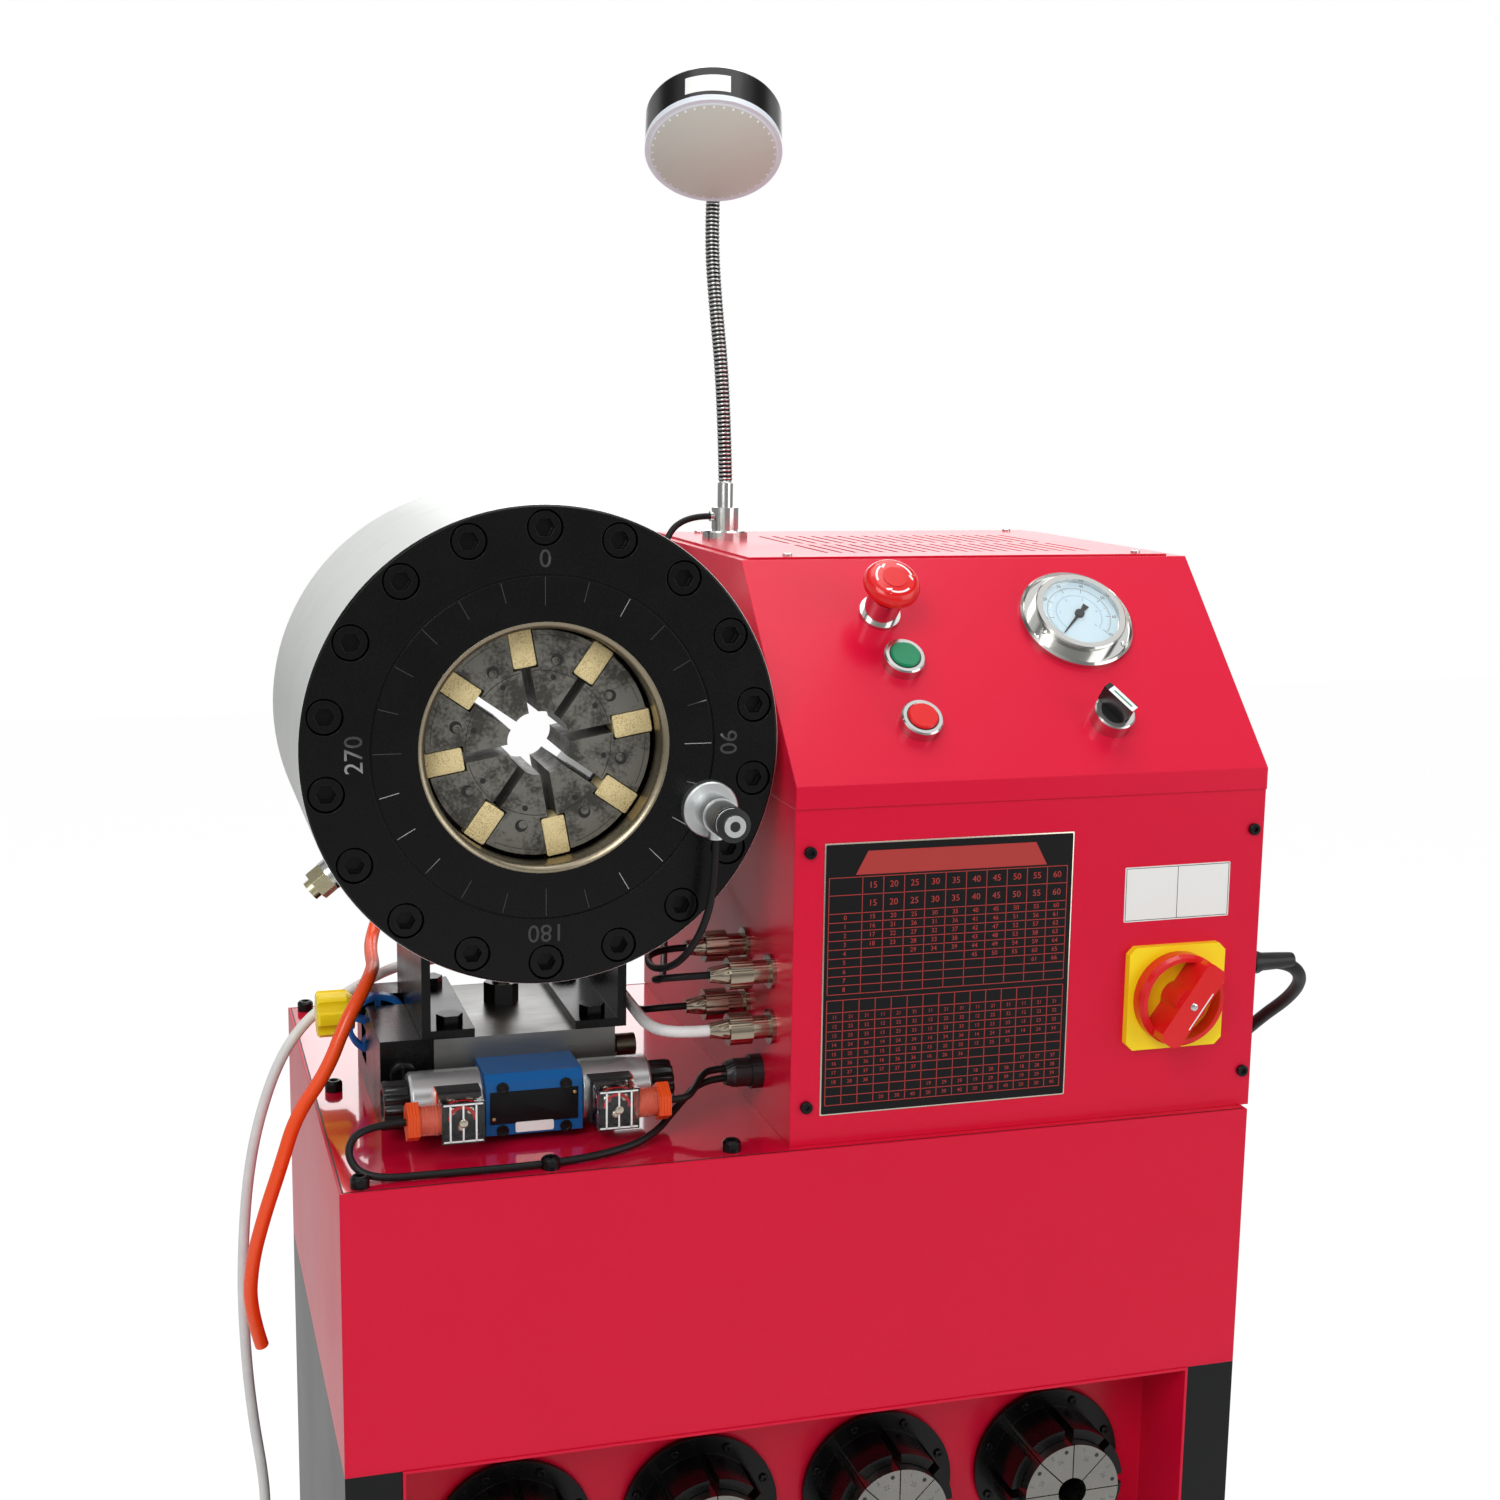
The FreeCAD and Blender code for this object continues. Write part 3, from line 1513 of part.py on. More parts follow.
def make_lamp_stem():
    """The lamp's foot, stem and ferrule, with a small cable bush on the left."""
    ferrule = lamp_stem_height + lamp_ferrule_height
    outline = [
        (0, 0),
        (lamp_foot_radius, 0),
        (lamp_foot_radius, 6),
        (lamp_foot_radius - 1, 7),
        (lamp_stem_radius, 7),
        (lamp_stem_radius, lamp_stem_height),
        (6, lamp_stem_height),
        (6, ferrule),
        (0, ferrule),
    ]
    stem = turned("lamp_post", outline, (lamp_x, lamp_y, lamp_z), UP)
    bush = rod("lamp_bush", (lamp_x, lamp_y, lamp_z + 18), 4, lamp_stem_radius + 2, LEFT)
    return fuse("lamp_stem", stem, bush)


LAMP_YAW = -15.6
LAMP_FACING = Rotation(Vector(0, 0, 1), LAMP_YAW).multiply(Rotation(Vector(1, 0, 0), 180 - 39))


def above_ferrule(across, back, up):
    """A place measured from the middle of the ferrule's top, where the neck comes out."""
    return (lamp_x + across, lamp_y + back, neck_foot + up)


LAMP_FACE = above_ferrule(-18, -19.3, 249)
LAMP_BALL = above_ferrule(-3.2, 33.6, 226.3)


def make_lamp_head():
    """A flat drum with a frosted dome and a ball on its lower edge."""
    rim = lamp_radius - 3
    outline = [
        (0, -lamp_band - 3),
        (rim - 4, -lamp_band - 3),
        (rim, -lamp_band),
        (lamp_radius, -lamp_band),
        (lamp_radius, 0),
        (rim, 0, -2.6),
        (5, lamp_dome),
        (0, lamp_dome),
    ]
    head = turned("lamp_drum", outline, LAMP_FACE, LAMP_FACING)
    ball_outline = [(0, -7), (4, -5.8), (6.6, -2.4), (6.6, 2.4), (4, 5.8), (0, 7)]
    ball = turned("lamp_ball", ball_outline, LAMP_BALL, LAMP_FACING)
    across = Rotation(Vector(0, 0, 1), LAMP_YAW)
    half_pin = across.multVec(Vector(value_of(pin_length) / 2, 0, 0))
    pin_base = [middle - shift for middle, shift in zip(LAMP_BALL, half_pin)]
    pin = rod("lamp_pin", pin_base, pin_radius, pin_length, across.multiply(RIGHT))
    return fuse("lamp_head", head, ball, pin)


# Cords


def route(name, points, radius, least=3):
    """A tube along straight runs joined by tangent arcs, measured against its own path."""
    corners = [Vector(*[value_of(number) for number in point]) for point in points]
    radius_value = value_of(radius)
    edges = []
    start = corners[0]
    tightest = math.inf
    for before, corner, after in zip(corners, corners[1:], corners[2:]):
        toward = (corner - before).normalize()
        away = (after - corner).normalize()
        turn = toward.getAngle(away)
        shorter = min((corner - before).Length, (after - corner).Length)
        tangent = 0.45 * shorter
        bend = tangent / math.tan(turn / 2)
        tightest = min(tightest, bend)
        if bend < least * 2 * radius_value:
            print(name, "bends to", round(bend, 1), "at", [round(number) for number in corner])
        arc_start = corner - toward * tangent
        arc_end = corner + away * tangent
        inward = (away - toward).normalize()
        middle = corner + inward * (bend / math.cos(turn / 2) - bend)
        edges.append(Part.LineSegment(start, arc_start).toShape())
        edges.append(Part.Arc(arc_start, middle, arc_end).toShape())
        start = arc_end
    edges.append(Part.LineSegment(start, corners[-1]).toShape())
    path = document.addObject("Part::Feature", name + "_path")
    path.Shape = Part.Wire(edges)
    profile = document.addObject("Part::Circle", name + "_profile")
    bind(profile, Radius=radius)
    profile.Placement = Placement(corners[0], Rotation(Vector(0, 0, 1), corners[1] - corners[0]))
    tube = document.addObject("Part::Sweep", name)
    tube.Sections = [profile]
    tube.Spine = (path, [f"Edge{index + 1}" for index in range(len(edges))])
    tube.Solid = True
    tube.Frenet = False
    length = path.Shape.Length
    ROUTES.append((name, tube, length, math.pi * radius_value ** 2 * length, tightest))
    return tube


ROUTES = []

GOOSENECK = [
    above_ferrule(0, 0, 0.3),
    above_ferrule(-2, 0.7, 71),
    above_ferrule(-7, 12.7, 146),
    above_ferrule(-6, 26.7, 189),
    above_ferrule(-3.6, 32.5, 218.6),
]
PROBE_LEAD = [
    (-74, -196, 1014),
    (-74, -196, 988),
    (-80, -194, 955),
    (-92, -175, 925),
    (-102, -135, 911),
    (-94, -91, 913),
    (-65.7, -91, 913),
]
LAMP_LEAD = [
    (7.5, 119.3, 1203),
    (-12, 119.3, 1203),
    (-30, 118, 1186),
    (-36, 110, 1140),
    (-38, 98, 1070),
    (-40, 85, 1000),
    (-43, 65, 940),
    (-52, 20, 900),
    (-68, -40, 892),
    (-84, -100, 893),
    (-100, -130, 903),
    (-92, -152.5, 910),
    (-65.7, -152.5, 910),
]
HEAD_LEAD = [
    (-65.7, -92, 870.7),
    (-84, -92, 870.7),
    (-97, -79, 866),
    (-97, -40, 860),
    (-94, 20, 862),
    (-86, 70, 880),
    (-90, 104, 915),
    (-95, 116, 965),
    (-100, 98, 1010),
    (-100, 64, 1010),
]
WHITE_CABLE = [
    (-65.7, -154.5, 871.5),
    (-88, -154.5, 871.5),
    (-103.8, -138.7, 872),
    (-103.8, -90, 873),
    (-103.8, -20, 874),
    (-103.5, 32, 875),
    (-122, 60, 875),
    (-165, 70, 874),
    (-205, 73, 872),
    (-249.6, 70, 868.7),
    (-284, 64, 853),
    (-314.5, 57, 838),
    (-338, 46, 811),
    (-355, 40, 766),
    (-364, 40, 720),
    (-368.6, 40, 666),
    (-369.8, 40, 618),
    (-366.6, 40, 546),
    (-355.4, 40, 463),
    (-362, 40, 430),
    (-380, 40, 400),
    (-364, 40, 370),
    WHITE_ENTRY,
]
RIGHT_COIL_LEAD = [
    (-46.7, -128, 834.5),
    (-56.1, -128, 834.5),
    (-64.1, -132.6, 833.5),
    (-78.1, -156.9, 828.3),
    (-86.1, -161.4, 827.25),
    (-96, -161.4, 827.25),
]
LEFT_COIL_LEAD = [
    (-46.7, -128, 827.6),
    (-64, -128, 827.6),
    (-84, -142, 815),
    (-110, -172, 805),
    (-150, -190, 803),
    (-200, -196, 803),
    (-255, -194.5, 803),
    (-301.7, -194, 803),
    (-313.4, -177.8, 815.2),
    (-301.7, -161.4, 827.25),
    (-272, -161.4, 827.25),
]
DRAIN_HOSE = [
    (-232, 64, 945),
    (-232, 112, 945),
    (-240, 132, 925),
    (-253, 132, 897),
    (-263, 112, 878),
    (-267, 75, 877),
    (-270, 35, 881),
    (-274, 2, 886),
    (-282, -24, 881),
    (-298, -40, 860),
    (-312, -47, 828),
    (-334, -48, 798),
    (-345, -47, 762),
    (-357, -43, 725),
    (-366, -34, 687),
    (-368, -24, 648),
    (-359.6, -15, 615),
]
POWER_LEAD = [
    (351.9, -147.7, 890),
    (378, -147.7, 890),
    (402, -138, 875),
    (412, -110, 850),
    (412, -60, 815),
    (408, 20, 745),
    (402, 100, 650),
    (392, 170, 530),
    (382, 215, 400),
    (372, 238, 270),
    (360, 254, 150),
    (345, 272, 70),
    (325, 291, 18),
    (300, 315, 6),
    (262, 350, 5.5),
]

# Assembly


def make_power_coil():
    """The rest of the power cable, put away in a round coil on the floor."""
    inner = coil_loop_radius - coil_turns * power_radius
    outer = coil_loop_radius + coil_turns * power_radius
    height = 6 * power_radius
    outline = [(inner, 0), (outer, 0), (outer, height), (inner, height)]
    return turned("power_coil", outline, (202.5, 324, 0), UP)


def make_power_plug():
    """A round five-pin industrial plug lying beside the coil."""
    outline = [
        (0, 0),
        (9, 0),
        (12, 20),
        (26, 40),
        (26, 74),
        (31, 76),
        (31, 84),
        (28, 86),
        (28, 118),
        (25, 118),
        (25, 88),
        (0, 88),
    ]
    shell = turned("plug_shell", outline, (158, 380, 31), LEFT)
    pins = []
    for index in range(5):
        across, up = direction(index * FULL_TURN / 5)
        pins.append(rod(f"plug_pin_{index + 1}", (158 - 86, 380 + 16 * across, 31 + 16 * up), 3, 28, LEFT))
    return fuse("power_plug", shell, *pins)


def rename(thing, label):
    thing.Label = label
    return thing


PARTS = [
    make_stand_frame(),
    make_die_tray(),
    make_die_holders(),
    make_stored_dies(),
    make_oil_tank(),
    make_top_plate(),
    make_electrics_case(),
    make_front_panel(),
    make_console_cover(),
    make_vent_lid(),
    make_isolator_plate(),
    make_isolator_knob(),
    make_control_bezels(),
    make_estop_mushroom(),
    make_button("close_button", control_column, close_button_up),
    make_button("open_button", control_column, open_button_up),
    make_selector_lever(),
    make_gauge_case(),
    make_gauge_pointer(),
    make_manifold_block(),
    make_head_brackets(),
    make_bracket_bolts(),
    make_valve_body(),
    make_solenoid_coils(),
    make_coil_nuts(),
    make_din_plugs(),
    make_relief_block(),
    make_blue_handwheel(),
    make_yellow_handwheel(),
    make_front_cap(),
    make_barrel(),
    make_piston(),
    make_cap_screws(),
    *make_jaws(),
    make_foam_blocks(),
    make_micrometer_base(),
    make_micrometer_thimble(),
    make_lamp_stem(),
    route("gooseneck", GOOSENECK, neck_radius),
    make_lamp_head(),
    make_connectors(),
    make_hose_fittings(),
    route("probe_lead", PROBE_LEAD, lead_radius),
    route("lamp_lead", LAMP_LEAD, lead_radius),
    route("head_lead", HEAD_LEAD, lead_radius),
    route("white_cable", WHITE_CABLE, white_radius),
    route("right_coil_lead", RIGHT_COIL_LEAD, lead_radius),
    route("left_coil_lead", LEFT_COIL_LEAD, lead_radius),
    route("drain_hose", DRAIN_HOSE, hose_radius),
    route("power_lead", POWER_LEAD, power_radius),
    make_power_coil(),
    make_power_plug(),
]

document.recompute()

for thing in document.Objects:
    if "Invalid" in thing.State or "Error" in thing.State:
        raise RuntimeError(thing.Label + " is not sound: " + str(thing.State))
for part in PARTS:
    if part.Shape.isNull() or not part.Shape.isValid():
        raise RuntimeError(part.Label + " has no sound shape")
for name, tube, length, volume, tightest in ROUTES:
    part_of = tube.Shape.Volume / volume
    print(name, "length", round(length), "tightest bend", round(tightest, 1), "volume", round(part_of, 3))
    if abs(part_of - 1) > 0.02:
        raise RuntimeError(name + " does not follow its route")

os.makedirs("parts", exist_ok=True)
for part in PARTS:
    part.Shape.exportStep(f"parts/{part.Label}.step")
    print(part.Label, len(part.Shape.Solids), round(part.Shape.Volume))
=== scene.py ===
# %% [markdown]
# # A hose crimping machine
#
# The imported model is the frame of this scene. It already holds every solid at its real place and size, in
# metres, with X to the right, Y to the back and Z up. This notebook gives each of those solids a finish, and
# it adds the small pieces and marks that only the eye needs. Nothing here moves a solid.

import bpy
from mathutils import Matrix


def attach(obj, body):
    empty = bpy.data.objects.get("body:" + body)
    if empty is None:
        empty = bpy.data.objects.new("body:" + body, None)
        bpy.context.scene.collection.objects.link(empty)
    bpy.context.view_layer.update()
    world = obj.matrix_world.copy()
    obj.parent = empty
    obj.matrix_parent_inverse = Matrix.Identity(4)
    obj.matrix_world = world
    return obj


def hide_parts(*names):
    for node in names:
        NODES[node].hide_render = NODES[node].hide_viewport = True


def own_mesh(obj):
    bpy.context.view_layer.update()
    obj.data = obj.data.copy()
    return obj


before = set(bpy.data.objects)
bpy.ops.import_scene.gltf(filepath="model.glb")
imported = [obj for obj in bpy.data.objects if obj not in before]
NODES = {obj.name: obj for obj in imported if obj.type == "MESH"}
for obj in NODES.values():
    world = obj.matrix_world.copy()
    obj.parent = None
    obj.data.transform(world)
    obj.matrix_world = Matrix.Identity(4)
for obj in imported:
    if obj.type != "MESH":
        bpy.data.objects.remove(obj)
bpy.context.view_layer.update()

# %% Modules and the machine's main sizes
import math

import bmesh
import bpy
import numpy as np
from mathutils import Matrix, Vector
from mathutils.bvhtree import BVHTree

MM = 0.001
MACHINE = "machine"
FULL_TURN = 2 * math.pi
HEAD_X = -0.182
HEAD_Z = 1.074
CAP_FACE = -0.177
CAP_RADIUS = 0.154
JAW_FACE = -0.155
TABLE_TOP = 0.8
PANEL_FACE = -0.1977
CONSOLE_LEFT = -0.0207
SLOPE_FOOT = (-0.1989, 1.0462)
SLOPE_RUN = 0.1341
SLOPE_RISE = 0.1373
SLOPE_LENGTH = math.hypot(SLOPE_RUN, SLOPE_RISE)
SLOPE_COSINE = SLOPE_RUN / SLOPE_LENGTH
SLOPE_SINE = SLOPE_RISE / SLOPE_LENGTH
LID_TOP = 1.185
PRINT = 0.00004
PORT_WAY = (-0.777, 0, -0.629)
THIMBLE_AXIS = (-0.074, 1.031)
THIMBLE_END = -0.2403
THIMBLE_HOLE = 0.0034

# %% [markdown]
# ## Places on the machine
#
# A mark or a knob is easiest to draw flat, so each flat piece is worked out in its own plane and then carried
# onto its face by a matrix. The matrix holds where the plane lies, its right, its up and its outward
# direction.

# %% Planes of the machine's faces


def plane(origin, right, up):
    """A matrix that carries right, up and out onto a face."""
    right = Vector(right).normalized()
    up = Vector(up).normalized()
    out = right.cross(up)
    matrix = Matrix((right, up, out)).transposed().to_4x4()
    matrix.translation = Vector(origin)
    return matrix


def on_slope(across, up, out=0.0, turn=0.0):
    """A plane on the sloping panel, in metres from its lower left corner, turned about its own normal."""
    along = Vector((0, SLOPE_COSINE, SLOPE_SINE))
    normal = Vector((0, -SLOPE_SINE, SLOPE_COSINE))
    origin = Vector((CONSOLE_LEFT + across, SLOPE_FOOT[0], SLOPE_FOOT[1])) + along * up + normal * out
    return plane(origin, (1, 0, 0), along) @ Matrix.Rotation(turn, 4, "Z")


def facing_front(x, y, z, turn=0.0):
    """A plane that faces the front, turned about its own normal."""
    return plane((x, y, z), (1, 0, 0), (0, 0, 1)) @ Matrix.Rotation(turn, 4, "Z")


def facing_up(x, y, z, turn=0.0):
    return plane((x, y, z), (1, 0, 0), (0, 1, 0)) @ Matrix.Rotation(turn, 4, "Z")


def facing_left(x, y, z, turn=0.0):
    return plane((x, y, z), (0, -1, 0), (0, 0, 1)) @ Matrix.Rotation(turn, 4, "Z")


def facing_right(x, y, z, turn=0.0):
    return plane((x, y, z), (0, 1, 0), (0, 0, 1)) @ Matrix.Rotation(turn, 4, "Z")


def on_disc(x, z, radius, degrees, y):
    """A plane on a round front, clockwise from its top, whose up points away from the axis."""
    sine = math.sin(math.radians(degrees))
    cosine = math.cos(math.radians(degrees))
    return plane((x + radius * sine, y, z + radius * cosine), (cosine, 0, -sine), (sine, 0, cosine))


def on_head(radius, degrees, y=CAP_FACE):
    """A plane on the press head's front."""
    return on_disc(HEAD_X, HEAD_Z, radius, degrees, y)


# %% [markdown]
# ## Sums on shader sockets
#
# A finish is easier to read as a sum than as a web of nodes. The small class below wraps a socket, and an
# ordinary expression such as 1 - mask then adds the Math nodes that it needs.

# %% The socket class


def sign(operation, swapped=False):
    """The method behind an arithmetic sign: it adds one Math node. Swapped, the socket stands on its right."""
    def work(self, other):
        return self.math(operation, other, self) if swapped else self.math(operation, self, other)
    return work


class Wire:
    """A shader socket that takes part in sums."""

    __add__ = sign("ADD")
    __radd__ = sign("ADD", True)
    __sub__ = sign("SUBTRACT")
    __rsub__ = sign("SUBTRACT", True)
    __mul__ = sign("MULTIPLY")
    __rmul__ = sign("MULTIPLY", True)
    __truediv__ = sign("DIVIDE")
    __pow__ = sign("POWER")
    __gt__ = sign("GREATER_THAN")
    __lt__ = sign("LESS_THAN")

    def __init__(self, tree, socket):
        self.tree = tree
        self.socket = socket

    def math(self, operation, *values):
        node = self.tree.nodes.new("ShaderNodeMath")
        node.operation = operation
        for slot, value in zip(node.inputs, values):
            if isinstance(value, Wire):
                self.tree.links.new(value.socket, slot)
            else:
                slot.default_value = value
        return Wire(self.tree, node.outputs[0])

    def limit(self, low=0.0, high=1.0):
        return self.math("MINIMUM", self.math("MAXIMUM", self, low), high)


# %% [markdown]
# ## Finishes
#
# Each finish is one material with one principled shader. A helper adds any node from its type, its settings
# and the values of its sockets. Patterns read Object coordinates, so they are in metres and have their real
# scale.

# %% The finish class


class Tree:
    """An emptied node tree, of a material or of the world, with a short way to add a node."""

    def __init__(self, owner):
        owner.use_nodes = True
        self.tree = owner.node_tree
        self.tree.nodes.clear()

    def plug(self, slot, value):
        if isinstance(value, Wire):
            self.tree.links.new(value.socket, slot)
        else:
            slot.default_value = value

    def node(self, kind, settings=None, inputs=None, output=0):
        made = self.tree.nodes.new(kind)
        for key, value in (settings or {}).items():
            setattr(made, key, value)
        for key, value in (inputs or {}).items():
            self.plug(made.inputs[key], value)
        return Wire(self.tree, made.outputs[output])

    def rays(self, kind):
        """1 for rays of one kind, such as Camera or Glossy."""
        return self.node("ShaderNodeLightPath", output=f"Is {kind} Ray")


class Finish(Tree):
    """A material that is put together from named steps."""

    def __init__(self, name, colour, roughness, metallic=0.0, **sockets):
        self.material = bpy.data.materials.new(name)
        super().__init__(self.material)
        self.material.diffuse_color = (*colour, 1)
        self.shader = self.tree.nodes.new("ShaderNodeBsdfPrincipled")
        self.output = self.tree.nodes.new("ShaderNodeOutputMaterial")
        self.tree.links.new(self.shader.outputs[0], self.output.inputs[0])
        self.colour = colour
        self.set("Base Color", (*colour, 1))
        self.set("Roughness", roughness)
        self.set("Metallic", metallic)
        for name_of, value in sockets.items():
            self.set(name_of.replace("_", " "), value)

    def set(self, name, value):
        self.plug(self.shader.inputs[name], value)
        return self

    def place(self, stretch=(1, 1, 1)):
        """Object coordinates, stretched to give a pattern a direction."""
        return self.node("ShaderNodeMapping", inputs={"Vector": self.where(), "Scale": stretch})

    def noise(self, scale, detail=2.0, stretch=(1, 1, 1)):
        inputs = {"Vector": self.place(stretch), "Scale": scale, "Detail": detail}
        return self.node("ShaderNodeTexNoise", inputs=inputs)

    def blend(self, mask, first, second):
        """A colour that goes from the first to the second as the mask goes from 0 to 1."""
        made = self.tree.nodes.new("ShaderNodeMix")
        made.data_type = "RGBA"
        for slot, value in zip((0, 6, 7), (mask, first, second)):
            self.plug(made.inputs[slot], value)
        return Wire(self.tree, made.outputs[2])

    def vary_colour(self, mask, other):
        """Blend the base colour towards another by a mask."""
        return self.set("Base Color", self.blend(mask, (*self.colour, 1), (*other, 1)))

    def where(self):
        return self.node("ShaderNodeTexCoord", output="Object")

    def axis(self, name):
        """One coordinate of the place, in metres: X, Y or Z."""
        return self.node("ShaderNodeSeparateXYZ", None, {0: self.where()}, name)

    def between(self, name, low, high):
        """A mask that is 1 where a coordinate lies between two bounds."""
        return (self.axis(name) > low) * (self.axis(name) < high)

    def outside(self, name, low, high):
        """A mask that is 1 where a coordinate lies under the first bound or over the second."""
        return (self.axis(name) < low) + (self.axis(name) > high)

    def along(self, origin, way):
        """How far the place lies from an origin along a direction: a dot product."""
        kind = "ShaderNodeVectorMath"
        offset = self.node(kind, {"operation": "SUBTRACT"}, {0: self.where(), 1: tuple(origin)})
        return self.node(kind, {"operation": "DOT_PRODUCT"}, {0: offset, 1: tuple(way)}, "Value")

    def now(self, name):
        """What feeds a socket at this moment: a wire or a plain value."""
        slot = self.shader.inputs[name]
        return Wire(self.tree, slot.links[0].from_socket) if slot.links else slot.default_value

    def zones(self, *parts):
        """Paint zones over the base: each part is (mask, colour, roughness, metallic)."""
        colour, rough, metal = self.now("Base Color"), self.now("Roughness"), self.now("Metallic")
        for mask, other, other_rough, other_metal in parts:
            colour = self.blend(mask, colour, (*other, 1))
            rough = mask * other_rough + (1 - mask) * rough
            metal = mask * other_metal + (1 - mask) * metal
        return self.set("Base Color", colour).set("Roughness", rough).set("Metallic", metal)

    def mix_with(self, other, factor):
        """Mix a second shader into the finish: the factor is its share."""
        own = Wire(self.tree, self.shader.outputs[0])
        mixed = self.node("ShaderNodeMixShader", None, {"Fac": factor, 1: own, 2: other})
        self.plug(self.output.inputs[0], mixed)

    def from_axis(self, x, z):
        """How far the place lies from an axis that runs from front to back, by Pythagoras."""
        across = self.axis("X") - x
        above = self.axis("Z") - z
        return (across * across + above * above) ** 0.5

    def bands(self, direction, scale):
        """Evenly spaced waves along one axis."""
        settings = {"wave_type": "BANDS", "bands_direction": direction}
        return self.node("ShaderNodeTexWave", settings, {"Vector": self.place(), "Scale": scale})

    def bump(self, height, depth, strength=1.0, soften=None):
        """Raise the surface by a height pattern; soften rounds the look of sharp sheet edges."""
        inputs = {"Height": height, "Distance": depth, "Strength": strength}
        if soften:
            inputs["Normal"] = self.node("ShaderNodeBevel", {"samples": 6}, {"Radius": soften})
        return self.set("Normal", self.node("ShaderNodeBump", inputs=inputs))


def shade(colour, factor):
    return tuple(min(1.0, part * factor) for part in colour)


# %% Paints, metals, plastics and rubbers

CRIMSON = (0.68, 0.0035, 0.036)
OXIDE_BLACK = (0.0028, 0.0028, 0.0032)
PLASTIC_BLACK = (0.012, 0.012, 0.013)
PALE_STEEL = (0.76, 0.78, 0.76)
SATIN = (0.72, 0.74, 0.74)


def paint(name, colour, roughness=0.3, peel=0.00006, soften=0.0012, clear=0.1):
    """Stoved paint: a fine orange peel, faint cloudiness and softly rounded edges."""
    made = Finish(name, colour, roughness, Coat_Weight=clear, Coat_Roughness=0.1, Specular_IOR_Level=0.2)
    cloud = made.noise(9, 3)
    grain = made.noise(520, 2)
    made.vary_colour((cloud - 0.4).limit() * 0.5, shade(colour, 0.86))
    made.set("Roughness", roughness + (cloud - 0.5) * 0.08)
    return made.bump(grain, peel, 0.5, soften)


def ground_metal(name, colour, roughness, stain, soften=0.0004, stretch=(1, 1, 1), lines=900):
    """Ground steel: fine lines along one direction, with cloudy oil stains."""
    made = Finish(name, colour, roughness, 1.0)
    scratch = made.noise(lines, 2, stretch)
    cloud = made.noise(28, 4)
    made.vary_colour((cloud - 0.35).limit() * stain * 4, shade(colour, 0.55))
    made.set("Roughness", roughness + (scratch - 0.5) * 0.22 + (cloud - 0.5) * 0.18)
    return made.bump(scratch, 0.00002, 0.35, soften)


def moulded(name, colour, roughness=0.38, peel=0.00003, **sockets):
    """Moulded plastic: one colour with a very fine grain."""
    made = Finish(name, colour, roughness, Specular_IOR_Level=0.35, **sockets)
    grain = made.noise(900, 2)
    made.set("Roughness", roughness + (made.noise(30, 2) - 0.5) * 0.1)
    return made.bump(grain, peel, 0.4)


def jacket(name, colour, roughness=0.5):
    """Cable jacket: matt, with long faint rub marks."""
    made = Finish(name, colour, roughness)
    rub = made.noise(60, 3)
    made.vary_colour((rub - 0.5).limit(), shade(colour, 1.35))
    made.set("Roughness", roughness + (rub - 0.5) * 0.25)
    return made.bump(made.noise(700, 1), 0.00002, 0.3)


crimson = paint("crimson_paint", CRIMSON)
gloss_crimson = paint("gloss_crimson_paint", CRIMSON, 0.14, 0.00001, 0.0012, 1.0)
gloss_crimson.set("Coat Roughness", 0.04).set("Coat IOR", 1.75)
black_paint = paint("black_paint", (0.006, 0.0065, 0.007), 0.32, 0.00008, clear=0.04)
black_steel = ground_metal("black_steel", OXIDE_BLACK, 0.24, 0.1, 0.0007)
black_steel.set("Metallic", 0.0).set("Specular IOR Level", 0.24)
silver_barrel = ground_metal("ground_barrel", PALE_STEEL, 0.42, 0.08, stretch=(0.03, 1, 0.03))
silver_barrel.set("Metallic", 0.35)
plain_steel = ground_metal("ground_steel", (0.26, 0.26, 0.25), 0.34, 0.16, stretch=(0.05, 1, 1))
dark_steel = Finish("oiled_jaw_steel", (0.2, 0.195, 0.17), 0.4, 0.6)
oil = dark_steel.noise(55, 8)
specks = dark_steel.noise(420, 4)
dark_steel.vary_colour(((oil - 0.44) * 5 + (specks - 0.5) * 2.4).limit(0, 0.9), (0.05, 0.047, 0.04))
dark_steel.set("Roughness", dark_steel.noise(90, 3) * 0.3 + 0.26)
dark_steel.bump(dark_steel.noise(700, 3, (1, 0.15, 1)), 0.00012, 0.4, 0.0005)
satin_silver = ground_metal("satin_silver", SATIN, 0.36, 0.04)
die_steel = ground_metal("die_steel", (0.27, 0.265, 0.245), 0.3, 0.15, stretch=(1, 0.2, 1), lines=600)
chrome = Finish("chrome", (0.66, 0.66, 0.64), 0.12, 1.0)
chrome.set("Roughness", 0.1 + chrome.noise(60, 2) * 0.06)
nickel = ground_metal("nickel", (0.66, 0.6, 0.5), 0.24, 0.05, 0.0003)
brass = ground_metal("brass", (0.72, 0.5, 0.2), 0.28, 0.08, 0.0003)
coil_silver = paint("coil_silver", (0.6, 0.61, 0.61), 0.26, 0.00002, 0.0008, 0.2)
coil_silver.set("Metallic", 0.8)
blue_paint = paint("valve_blue", (0.005, 0.1, 0.32), 0.26, 0.00004, 0.0006)
black_plastic = moulded("black_plastic", (0.013, 0.013, 0.014))
red_plastic = moulded("red_plastic", (0.72, 0.008, 0.01), 0.2, 0.00001, Coat_Weight=0.2)
green_plastic = moulded("green_plastic", (0.002, 0.24, 0.1), 0.25, 0.00001, Coat_Weight=0.2)
yellow_plastic = moulded("yellow_plastic", (0.99, 0.74, 0.008), 0.3)
blue_plastic = moulded("blue_plastic", (0.01, 0.12, 0.42), 0.32)
bare_label = moulded("bare_label", (0.82, 0.82, 0.8), 0.42)
dial_paper = moulded("dial_face", (0.6, 0.76, 0.84), 0.45)
